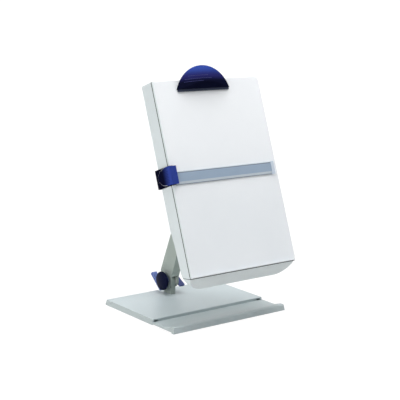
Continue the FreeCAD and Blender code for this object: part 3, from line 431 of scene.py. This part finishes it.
for nodeName, finishes, body, slot, edge in softened:
    mesh, shape = cleanCopy(nodeName)
    if len(finishes) > 1:
        shadeFlanks(shape)
    finishCopy(nodeName, mesh, shape, finishes, body, edge)
print("moulded pieces softened:", len(softened))


# back shell: sides drawn in towards the back, corners that open towards the front, a parting line; the
# parting groove and the shell's front edge get the seam's painted shade

shell = {"half": 0.1075, "foot": -0.017, "sideBand": 0.0008, "edge": 0.00015,
         "cuts": (0.0025, 0.0042, 0.0062, 0.009, 0.012, 0.017, 0.0215),
         "back": 0.012, "backIn": 0.0012, "backRun": 0.018, "aboveFoot": 0.001,
         "cornerBack": 0.032, "cornerFront": 0.023, "cornerBand": 0.0006, "openFrom": 0.006, "openRun": 0.014,
         "lineFoot": (0, 0.0009, -0.0004), "lineBack": 0.0166, "lineUp": 0.0033, "lineSide": 0.095,
         "lineEnd": 0.028, "groove": 0.0009, "grooveDeep": 0.0006, "frontLip": 0.00095}


def openCorner(x, depth, height):
    # how far out a lower corner goes: it turns tighter towards the front
    wide, tight = shell["cornerBack"], shell["cornerFront"]
    arc, low = shell["foot"] + wide, shell["foot"] + tight
    if height >= arc or abs(x) <= shell["half"] - wide:
        return 0.0
    reach = shell["half"] - wide + math.sqrt(max(0.0, wide ** 2 - (arc - height) ** 2))
    if abs(abs(x) - reach) >= shell["cornerBand"]:
        return 0.0
    full = shell["half"] - tight + math.sqrt(max(0.0, tight ** 2 - max(0.0, low - height) ** 2))
    return (full - reach) * max(0.0, min(1.0, 1 - (depth - shell["openFrom"]) / shell["openRun"]))


def swellShell():
    mesh, shape = cleanCopy("back_shell")
    for depth in shell["cuts"]:
        cutShape(shape, onBoard(0, depth, 0), board["back"])
    # the parting line runs back and up from the foot of the front seam
    lineFoot = onBoard(*shell["lineFoot"])
    rise = (board["back"] * shell["lineBack"] + board["up"] * shell["lineUp"]).normalized()
    across = (board["up"] - rise * board["up"].dot(rise)).normalized()
    for lift in (0, shell["groove"]):
        cutShape(shape, lineFoot + across * (lift - shell["groove"] / 2), across)
    for vert in shape.verts:
        x, depth, height = boardPlace(vert.co)
        side = 1 if x > 0 else -1
        x += side * openCorner(x, depth, height)
        onSide = abs(x) > shell["half"] - shell["sideBand"] and height > shell["foot"] + shell["aboveFoot"]
        if onSide and depth > shell["back"]:
            x -= side * shell["backIn"] * ((depth - shell["back"]) / shell["backRun"]) ** 2
        vert.co.x = x
    groove = []
    for face in shape.faces:
        centre = face.calc_center_median()
        x, depth, height = boardPlace(centre)
        inLine = abs((centre - lineFoot).dot(across)) < shell["groove"] / 2 and depth < shell["lineEnd"]
        facesFront = face.normal.dot(board["back"]) < -0.9
        # faces in the parting groove and on the front edge facing the panel take the seam's painted shade
        if inLine and abs(face.normal.x) > 0.6 and abs(x) > shell["lineSide"]:
            groove.append(face)
            face.material_index = 1
        elif facesFront and depth < shell["frontLip"]:
            face.material_index = 1
    bmesh.ops.inset_region(shape, faces=groove, thickness=0.00001, depth=-shell["grooveDeep"],
                           use_even_offset=True)
    finishCopy("back_shell", mesh, shape, ("boardPlastic", "seamShade"), "board",
               shell["edge"])


# the panel's edge is stepped back where it meets the shell; that step and the panel's back are painted dark,
# a painted shade for the thin gap there
rebate = {"cuts": (-0.0009, -0.0008), "from": -0.00085, "to": 0.0002, "deep": 0.0004, "darkFrom": -0.00088,
          "edge": 0.00025}


def facePanel():
    mesh, shape = cleanCopy("front_panel")
    for depth in rebate["cuts"]:
        cutShape(shape, onBoard(0, depth, 0), board["back"])
    for vert in shape.verts:
        x, depth, height = boardPlace(vert.co)
        if abs(x) > shell["half"] - 2 * hair and rebate["from"] < depth < rebate["to"]:
            vert.co.x -= math.copysign(rebate["deep"], x)
    for face in shape.faces:
        x, depth, height = boardPlace(face.calc_center_median())
        # the panel's back and the rear of its stepped edge take the seam's painted shade
        if face.normal.dot(board["back"]) > 0.9:
            face.material_index = 1
        elif abs(x) > shell["half"] - shell["sideBand"]:
            face.material_index = 1 if depth > rebate["darkFrom"] else 2
    finishCopy("front_panel", mesh, shape, ("panelPlastic", "seamShade", "boardPlastic"), "board",
               rebate["edge"])


def skinRows(shape, rows):
    # walls from each row of points to the next, and a cap on each end
    count = len(rows[0])
    shape.faces.new(rows[0])
    for a, b in zip(rows, rows[1:]):
        for k in range(count):
            shape.faces.new((a[k], b[k], b[(k + 1) % count], a[(k + 1) % count]))
    shape.faces.new(list(reversed(rows[-1])))


def putPiece(name, shape, finish, body):
    bmesh.ops.recalc_face_normals(shape, faces=shape.faces)
    mesh = bpy.data.meshes.new(name)
    shape.to_mesh(mesh)
    shape.free()
    mesh.materials.append(materials[finish])
    piece = bpy.data.objects.new(name, mesh)
    scene.collection.objects.link(piece)
    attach(piece, body)
    return mesh


# a dark strip between panel and shell, set in from the sides, and its lip under the panel: painted shade for
# the seam's gap and the shadow under the panel
shadeStrip = {"inset": 0.0004, "foot": -0.0007, "corner": 0.006, "cornerSteps": 7, "depths": (0.00004, 0.00086),
          "lip": ((-0.0038, -0.00004), (0.00004, -0.00004), (0.00004, -0.0007), (-0.0034, -0.0007)),
          "lipEnds": (-0.1062, 0.1068)}


def buildSeam():
    half, high, corner = shell["half"] - shadeStrip["inset"], board["tall"] - shadeStrip["inset"], shadeStrip["corner"]
    top = []
    for k in range(shadeStrip["cornerSteps"] + 1):
        turn = math.radians(90 * k / shadeStrip["cornerSteps"])
        top.append((half - corner + corner * math.sin(turn), high - corner + corner * math.cos(turn)))
    outline = [(-x, z) for x, z in reversed(top)] + top + [(half, shadeStrip["foot"]), (-half, shadeStrip["foot"])]
    shape = bmesh.new()
    skinRows(shape, [[shape.verts.new(onBoard(x, depth, z)) for x, z in outline]
                     for depth in shadeStrip["depths"]])
    skinRows(shape, [[shape.verts.new(onBoard(x, depth, z)) for depth, z in shadeStrip["lip"]]
                     for x in shadeStrip["lipEnds"]])
    putPiece("seam-shade", shape, "seamShade", "board")


swellShell()
facePanel()
buildSeam()
print("back shell, panel and seam done")


# thumb pad of the slider: its round end is drawn out to an oval, with a paler rim that is a painted highlight

nose = {"from": 0.01055, "stretch": 0.025 / 0.01445, "rimFrom": 0.004, "rimAngle": 60, "rim": 0.0006,
        "edge": 0.0005}


def shapeThumbWithGlint():
    mesh, shape = cleanCopy("slider_thumb")
    for vert in shape.verts:
        depth = boardPlace(vert.co)[1]
        if depth > nose["from"] - hair:
            vert.co += board["back"] * ((depth - nose["from"]) * nose["stretch"] - depth)
    outer = min(vert.co.x for vert in shape.verts)
    rim = [edge for edge in shape.edges
           if edge.calc_face_angle(0) > math.radians(nose["rimAngle"])
           and all(vert.co.x < outer + hair and boardPlace(vert.co)[1] > nose["rimFrom"]
                   for vert in edge.verts)]
    bmesh.ops.bevel(shape, geom=rim, offset=nose["rim"], segments=2, affect="EDGES", profile=0.5, material=1)
    finishCopy("slider_thumb", mesh, shape, ("thumbBlue", "edgeGlint"), "slider",
               nose["edge"])


shapeThumbWithGlint()
print("slider done")


# left tilt lever: a domed near-black disc on a paler wing

knob = {"axis": (0.072, 0.034), "radius": 0.0164, "flat": 0.0149, "face": -0.0195, "wing": -0.0160,
        "dome": 0.0016, "rings": 6, "ringShare": 0.9, "edge": 0.0003}


def fromAxis(point):
    return math.hypot(point.y - knob["axis"][0], point.z - knob["axis"][1])


def domeLever():
    mesh, shape = cleanCopy("tilt_lever_left")
    flat = max((face for face in shape.faces if face.normal.x < -0.98), key=lambda face: face.calc_area())
    for k in range(knob["rings"]):
        bmesh.ops.inset_individual(shape, faces=[flat],
                                   thickness=knob["ringShare"] * knob["flat"] / knob["rings"])
    bmesh.ops.pointmerge(shape, verts=flat.verts[:], merge_co=(knob["face"], *knob["axis"]))
    for vert in shape.verts:
        if vert.co.x < knob["face"] + hair / 5:
            vert.co.x -= knob["dome"] * (1 - (fromAxis(vert.co) / knob["flat"]) ** 2)
    for face in shape.faces:
        if all(fromAxis(vert.co) < knob["radius"] + 2 * hair and vert.co.x < knob["wing"] + hair
               for vert in face.verts):
            face.material_index = 1
    finishCopy("tilt_lever_left", mesh, shape, ("leverBlue", "knobBlack"), "tilt_lever",
               knob["edge"])


domeLever()
print("tilt levers done")


# small parts that repeat or follow a path: a node tree grows each, then it is a plain mesh

def newTree(name, *inputs):
    # every tree also has its host's geometry and a finish
    tree = bpy.data.node_groups.new(name, "GeometryNodeTree")
    entries = (("Geometry", "Geometry"), *inputs, ("Finish", "Material"))
    for label, kind in entries:
        tree.interface.new_socket(label, in_out="INPUT", socket_type="NodeSocket" + kind)
    tree.interface.new_socket("Geometry", in_out="OUTPUT", socket_type="NodeSocketGeometry")
    return tree, tree.nodes.new("NodeGroupInput"), tree.nodes.new("NodeGroupOutput")


def closeTree(tree, enter, leave, last):
    # every tree ends the same way: instances made real, then the finish
    solid = tree.nodes.new("GeometryNodeRealizeInstances")
    paint = tree.nodes.new("GeometryNodeSetMaterial")
    tree.links.new(last, solid.inputs["Geometry"])
    tree.links.new(solid.outputs["Geometry"], paint.inputs["Geometry"])
    tree.links.new(enter.outputs["Finish"], paint.inputs["Material"])
    tree.links.new(paint.outputs["Geometry"], leave.inputs["Geometry"])
    return tree


def addNode(tree, kind, **values):
    node = tree.nodes.new(kind)
    for key, value in values.items():
        feed(tree, node.inputs[key.replace("_", " ")], value)
    return node


def sweepRound(tree, enter, curve):
    # a round bar along a curve
    ring = addNode(tree, "GeometryNodeCurvePrimitiveCircle", Resolution=12,
                   Radius=enter.outputs["Bar Radius"])
    sweep = addNode(tree, "GeometryNodeCurveToMesh", Curve=curve, Profile_Curve=ring.outputs["Curve"],
                    Fill_Caps=True)
    return sweep.outputs["Mesh"]


def buildRibTree():
    tree, enter, leave = newTree("ribLine", ("Bar Radius", "Float"))
    path = addNode(tree, "GeometryNodeMeshToCurve", Mesh=enter.outputs["Geometry"])
    return closeTree(tree, enter, leave, sweepRound(tree, enter, path.outputs["Curve"]))


def buildCoilTree():
    tree, enter, leave = newTree(
        "wireCoil", ("Turns", "Float"), ("Coil Radius", "Float"), ("Coil Length", "Float"),
        ("Bar Radius", "Float"), ("Place", "Vector"), ("Turn", "Vector"))
    radius = enter.outputs["Coil Radius"]
    spiral = addNode(tree, "GeometryNodeCurveSpiral", Resolution=28, Rotations=enter.outputs["Turns"],
                     Start_Radius=radius, End_Radius=radius, Height=enter.outputs["Coil Length"])
    lay = addNode(tree, "GeometryNodeTransform", Geometry=sweepRound(tree, enter, spiral.outputs["Curve"]),
                  Translation=enter.outputs["Place"], Rotation=enter.outputs["Turn"])
    return closeTree(tree, enter, leave, lay.outputs["Geometry"])


def buildDotTree():
    # one low round dot on every point, each a little larger or smaller
    tree, enter, leave = newTree(
        "gripDots", ("Dot Radius", "Float"), ("Spread", "Float"), ("Smallest", "Float"),
        ("Largest", "Float"), ("Seed", "Int"))
    dot = addNode(tree, "GeometryNodeMeshUVSphere", Segments=12, Rings=6, Radius=enter.outputs["Dot Radius"])
    # its inputs 2 and 3 and its output 1 are the ones for plain numbers
    size = addNode(tree, "FunctionNodeRandomValue", Seed=enter.outputs["Seed"])
    tree.links.new(enter.outputs["Smallest"], size.inputs[2])
    tree.links.new(enter.outputs["Largest"], size.inputs[3])
    share = size.outputs[1]
    flat = addNode(tree, "ShaderNodeCombineXYZ", X=enter.outputs["Spread"], Y=share, Z=share)
    points = addNode(tree, "GeometryNodeMeshToPoints", Mesh=enter.outputs["Geometry"])
    put = addNode(tree, "GeometryNodeInstanceOnPoints", Points=points.outputs["Points"],
                  Instance=dot.outputs["Mesh"], Scale=flat.outputs[0])
    return closeTree(tree, enter, leave, put.outputs["Instances"])


screw = {"head": 0.0028, "under": 0.84, "shank": 0.0015, "slotLong": 1.24, "slotWide": 0.32}


def buildScrewTree():
    # head with its outer face at the point, and a shank as long as the point's "reach". The shank starts at
    # that face too, so it fills the cross recess in the head but for the cross's four tips
    tree, enter, leave = newTree(
        "crossScrew", ("Head Radius", "Float"), ("Head Height", "Float"), ("Recess", "Float"),
        ("Shank Radius", "Float"), ("Turn", "Vector"))
    radius = enter.outputs["Head Radius"]
    head = addNode(tree, "GeometryNodeMeshCone", Vertices=32, Depth=enter.outputs["Head Height"],
                   Radius_Top=radius, Radius_Bottom=mathNode(tree, "MULTIPLY", radius, screw["under"]))
    carve = addNode(tree, "GeometryNodeMeshBoolean", Mesh_1=head.outputs["Mesh"])
    carve.operation = "DIFFERENCE"
    for shares in (("slotLong", "slotWide"), ("slotWide", "slotLong")):
        wide, tall = (mathNode(tree, "MULTIPLY", radius, screw[share]) for share in shares)
        deep = mathNode(tree, "MULTIPLY", enter.outputs["Recess"], 2.0)  # half of it is above the head
        span = addNode(tree, "ShaderNodeCombineXYZ", X=wide, Y=tall, Z=deep)
        blade = addNode(tree, "GeometryNodeMeshCube", Size=span.outputs[0])
        tree.links.new(blade.outputs["Mesh"], carve.inputs["Mesh 2"])
    shank = addNode(tree, "GeometryNodeMeshCylinder", Vertices=24, Depth=1.0,
                    Radius=enter.outputs["Shank Radius"])
    lift = addNode(tree, "GeometryNodeTransform", Geometry=shank.outputs["Mesh"], Translation=(0, 0, 0.5))
    aim = addNode(tree, "FunctionNodeEulerToRotation", Euler=enter.outputs["Turn"])
    reach = addNode(tree, "GeometryNodeInputNamedAttribute", Name="reach")
    reach.data_type = "FLOAT"
    stretch = addNode(tree, "ShaderNodeCombineXYZ", X=1.0, Y=1.0, Z=reach.outputs["Attribute"])
    points = addNode(tree, "GeometryNodeMeshToPoints", Mesh=enter.outputs["Geometry"])
    join = tree.nodes.new("GeometryNodeJoinGeometry")
    for part, scale in ((carve.outputs["Mesh"], (1, 1, 1)), (lift.outputs["Geometry"], stretch.outputs[0])):
        put = addNode(tree, "GeometryNodeInstanceOnPoints", Points=points.outputs["Points"], Instance=part,
                      Rotation=aim.outputs[0], Scale=scale)
        tree.links.new(put.outputs["Instances"], join.inputs["Geometry"])
    return closeTree(tree, enter, leave, join.outputs["Geometry"])


def smoothMesh(mesh):
    for polygon in mesh.polygons:
        polygon.use_smooth = True
    mesh.set_sharp_from_angle(angle=math.radians(sharpAngle))


def growPiece(name, points, links, tree, values, body, replaced=(), reaches=None):
    seed = bpy.data.meshes.new(name + "-seed")
    seed.from_pydata(points, links, [])
    if reaches:
        seed.attributes.new("reach", "FLOAT", "POINT").data.foreach_set("value", reaches)
    host = bpy.data.objects.new(name, seed)
    scene.collection.objects.link(host)
    grower = host.modifiers.new("grow", "NODES")
    grower.node_group = tree
    for item in tree.interface.items_tree:
        if item.in_out == "INPUT" and item.name in values:
            grower[item.identifier] = values[item.name]
    host.update_tag()
    graph = bpy.context.evaluated_depsgraph_get()
    mesh = bpy.data.meshes.new_from_object(host.evaluated_get(graph))
    host.modifiers.remove(grower)
    mesh.name = name
    host.data = mesh
    smoothMesh(mesh)
    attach(host, body)
    if replaced:
        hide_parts(*replaced)
    print(name, "faces:", len(mesh.polygons))


def clipSkin():
    shape = bmesh.new()
    shape.from_mesh(nodes["clip_jaw"].data)
    skin = BVHTree.FromBMesh(shape)
    places = [boardPlace(vert.co) for vert in shape.verts]
    shape.free()
    return skin, places


def touchSkin(skin, x, height):
    # from well in front of the board, straight back on to the clip
    return skin.ray_cast(onBoard(x, -0.09, height), board["back"])[0]


# each rib line: height up the board, and its two ends across it
ribs = {"radius": 0.0003, "sink": 0.00008, "step": 0.0015,
        "lines": ((0.3170, -0.043, -0.006), (0.3120, -0.050, 0.000), (0.3078, -0.052, -0.018))}


def layRibs():
    skin = clipSkin()[0]
    points, links = [], []
    for height, start, end in ribs["lines"]:
        count = int((end - start) / ribs["step"])
        for k in range(count + 1):
            front = touchSkin(skin, start + (end - start) * k / count, height)
            points.append(front + board["back"] * ribs["sink"])
            if k:
                links.append((len(points) - 2, len(points) - 1))
    values = {"Bar Radius": ribs["radius"], "Finish": materials["ribBlue"]}
    growPiece("clip-ribs", points, links, buildRibTree(), values, "clip")


# a dark strip along the clip's foot, down to the panel: painted shadow under the clip
lip = {"tall": 0.0030, "lap": 0.0003, "setBack": 0.0011, "touch": -0.00408, "thin": 0.0006, "round": 0.0007,
       "roundFrom": 0.7, "step": 0.002, "end": 0.0015, "footBand": 0.0012, "above": 0.0009}


def fitFootShadow():
    skin, places = clipSkin()
    low = min(height for x, depth, height in places)
    ends = [x for x, depth, height in places if height < low + lip["footBand"]]
    start, stop = min(ends) + lip["end"], max(ends) - lip["end"]
    count = int((stop - start) / lip["step"])
    top, foot, shoulder = low + lip["lap"], low - lip["tall"], low - lip["tall"] * lip["roundFrom"]
    shape = bmesh.new()
    rows = []
    for k in range(count + 1):
        x = start + (stop - start) * k / count
        behind = boardPlace(touchSkin(skin, x, low + lip["above"]))[1] + lip["setBack"]
        front = min(lip["touch"] - lip["thin"], behind)
        section = ((front, top), (front, shoulder), (front + lip["round"], foot), (lip["touch"], foot),
                   (lip["touch"], top))
        rows.append([shape.verts.new(onBoard(x, depth, height)) for depth, height in section])
    skinRows(shape, rows)
    smoothMesh(putPiece("clip-foot-shadow", shape, "clipFootShadow", "clip"))


spring = {"turns": 8.0, "radius": 0.0027, "wire": 0.00055, "axis": (-0.026930, 0.397653), "middle": -0.0116,
          "length": 0.0128}


def windSpring():
    values = {"Turns": spring["turns"], "Coil Radius": spring["radius"], "Coil Length": spring["length"],
              "Bar Radius": spring["wire"], "Turn": (0.0, math.radians(90), 0.0),
              "Place": (spring["middle"] - spring["length"] / 2, *spring["axis"]),
              "Finish": materials["brightSteel"]}
    growPiece("spring-wire", [], [], buildCoilTree(), values, "board", ("clip_spring",))


grip = {"pitch": 0.0028, "rowShare": 0.87, "dot": 0.00055, "stand": 0.35, "smallest": 0.85, "largest": 1.15,
        "seed": 4, "middle": 0.16275, "side": -0.1127, "front": -0.004, "tip": 0.0225, "half": 0.0122}


def dotThumb():
    points, row = [], 0
    height = -grip["half"]
    while height <= grip["half"]:
        depth = grip["front"] + (grip["pitch"] / 2 if row % 2 else 0)
        while depth < grip["tip"]:
            if (max(0.0, depth) / grip["tip"]) ** 2 + (height / grip["half"]) ** 2 < 1:
                points.append(onBoard(grip["side"], depth, grip["middle"] + height))
            depth += grip["pitch"]
        height += grip["pitch"] * grip["rowShare"]
        row += 1
    values = {"Dot Radius": grip["dot"], "Spread": grip["stand"], "Smallest": grip["smallest"],
              "Largest": grip["largest"], "Seed": grip["seed"], "Finish": materials["dotBlack"]}
    growPiece("thumb-dots", points, [], buildDotTree(), values, "slider")


# piece, the screws it stands for, body, which way their heads face, the turn for that, head height, recess
screwSets = (
    ("base-screws", [f"{kind}_screw_{k}" for kind in ("cover", "post") for k in (1, 2, 3, 4)], "base",
     Vector((0, 0, -1)), (0.0, 0.0, 0.0), 0.0006, 0.0004),
    ("bracket-screws", [f"bracket_screw_{k}" for k in (1, 2, 3, 4)], "board",
     board["back"], (math.radians(90 - board["tilt"]), 0.0, 0.0), 0.0011, 0.0007),
)


def setScrews():
    tree = buildScrewTree()
    for name, replaced, body, outward, turn, height, recess in screwSets:
        points, reaches = [], []
        for nodeName in replaced:
            corners = [vert.co for vert in nodes[nodeName].data.vertices]
            far = max(corner.dot(outward) for corner in corners)
            rim = [corner for corner in corners if corner.dot(outward) > far - hair / 5]
            points.append(sum(rim, Vector()) / len(rim))
            reaches.append(far - min(corner.dot(outward) for corner in corners))
        values = {"Head Radius": screw["head"], "Head Height": height, "Recess": recess,
                  "Shank Radius": screw["shank"], "Turn": turn, "Finish": materials["brightSteel"]}
        growPiece(name, points, [], tree, values, body, replaced, reaches)


layRibs()
fitFootShadow()
windSpring()
dotThumb()
setScrews()
print("small parts done")


# nodes that stay as they are, each with its finish
kept = {
    "clip_saddle": "navyBlack", "slider_felt": "feltPile", "drawer_guide_left": "drawerPlastic",
    "drawer_guide_right": "drawerPlastic", "friction_washer_left": "washerPlastic",
    "friction_washer_right": "washerPlastic", "base_floor": "zincSheet", "ballast_left": "zincSheet",
    "ballast_right": "zincSheet", "hinge_axle": "brightSteel", "board_pin": "brightSteel",
    "clip_pin": "brightSteel", **{f"foot_{k}": "footRubber" for k in (1, 2, 3, 4)},
}
for nodeName, finish in kept.items():
    slots = nodes[nodeName].data.materials
    slots.clear()
    slots.append(materials[finish])
print("kept nodes finished:", len(kept))


# floor, light and camera

floorPlan = {"reach": 90.0, "grey": (0.86, 0.86, 0.86, 1), "white": 0.86, "glow": 1.1, "plainFrom": 0.5,
             "plainTo": 1.6}
light = {"ambient": 0.06, "sky": (0.93, 0.97, 1.0, 1), "plain": (1, 1, 1, 1),
         # name, place, target, size, power
         "lamps": (("over", (0, -0.1, 1.7), (0, 0, 0.15), 1.5, 30.0),
                   ("left", (-2.0, -0.4, 0.9), (0, 0, 0.2), 1.2, 25.0),
                   ("right", (2.0, -0.8, 1.0), (0, 0, 0.2), 1.2, 17.0))}
lens = {"place": (-1.0653, -1.4008, 0.5303), "azimuth": 37.458, "down": 11.022, "roll": 0.825, "focal": 96.46,
        "sensor": 36, "nearest": 0.05}


def plainRays(tree):
    # 1 for what is looked at straight on, in a reflection or through something clear
    rays = tree.nodes.new("ShaderNodeLightPath").outputs
    return mathNode(tree, "MAXIMUM", rays["Is Camera Ray"],
                    mathNode(tree, "MAXIMUM", rays["Is Glossy Ray"], rays["Is Transmission Ray"]))


def mixShaders(tree, factor, under, over, out):
    mix = tree.nodes.new("ShaderNodeMixShader")
    for socket, source in zip(mix.inputs, (factor, under.outputs[0], over.outputs[0])):
        tree.links.new(source, socket)
    tree.links.new(mix.outputs[0], out.inputs["Surface"])


def stageMaterial(name):
    # for those rays it is nearly white close by, where it still takes the shadow, and plain white far off
    material = bpy.data.materials.new(name)
    material.use_nodes = True
    tree = material.node_tree
    tree.nodes.clear()
    out = tree.nodes.new("ShaderNodeOutputMaterial")
    diffuse = addNode(tree, "ShaderNodeBsdfDiffuse", Color=floorPlan["grey"])
    glow = addNode(tree, "ShaderNodeEmission", Strength=floorPlan["glow"])
    away = vectorNode(tree, "LENGTH", tree.nodes.new("ShaderNodeTexCoord").outputs["Object"])
    far = addNode(tree, "ShaderNodeMapRange", Value=away.outputs["Value"], From_Min=floorPlan["plainFrom"],
                  From_Max=floorPlan["plainTo"], To_Min=floorPlan["white"])
    mixShaders(tree, mathNode(tree, "MULTIPLY", plainRays(tree), far.outputs["Result"]), diffuse, glow, out)
    return material


def layFloor():
    mesh = bpy.data.meshes.new("floor")
    reach = floorPlan["reach"]
    mesh.from_pydata([(-reach, -reach, 0), (reach, -reach, 0), (reach, reach, 0), (-reach, reach, 0)], [],
                     [(0, 1, 2, 3)])
    mesh.materials.append(stageMaterial("paleFloor"))
    floor = bpy.data.objects.new("floor", mesh)
    scene.collection.objects.link(floor)


def buildSky():
    world = bpy.data.worlds.new("studio")
    world.use_nodes = True
    scene.world = world
    tree = world.node_tree
    tree.nodes.clear()
    out = tree.nodes.new("ShaderNodeOutputWorld")
    dim = addNode(tree, "ShaderNodeBackground", Color=light["sky"], Strength=light["ambient"])
    white = addNode(tree, "ShaderNodeBackground", Color=light["plain"])
    mixShaders(tree, plainRays(tree), dim, white, out)


def buildLamps():
    for name, place, target, size, power in light["lamps"]:
        lamp = bpy.data.lights.new(name, "AREA")
        lamp.shape = "DISK"
        lamp.size = size
        lamp.energy = power
        holder = bpy.data.objects.new(name, lamp)
        scene.collection.objects.link(holder)
        holder.location = place
        holder.rotation_euler = (Vector(target) - Vector(place)).to_track_quat("-Z", "Y").to_euler()


def buildCamera():
    camera = bpy.data.objects.new("camera", bpy.data.cameras.new("camera"))
    scene.collection.objects.link(camera)
    camera.data.lens = lens["focal"]
    camera.data.sensor_width = lens["sensor"]
    camera.data.clip_start = lens["nearest"]
    azimuth, down, roll = (math.radians(lens[key]) for key in ("azimuth", "down", "roll"))
    level = Vector((math.sin(azimuth), math.cos(azimuth), 0))
    forward = level * math.cos(down) - Vector((0, 0, math.sin(down)))
    right = Vector((math.cos(azimuth), -math.sin(azimuth), 0))
    up = right.cross(forward)
    turnedRight = math.cos(roll) * right + math.sin(roll) * up
    turnedUp = math.cos(roll) * up - math.sin(roll) * right
    turn = Matrix((turnedRight, turnedUp, -forward)).transposed()
    camera.matrix_world = Matrix.Translation(lens["place"]) @ turn.to_4x4()
    scene.camera = camera


layFloor()
buildSky()
buildLamps()
buildCamera()
scene.view_settings.view_transform = "Standard"
print("floor, light and camera done")
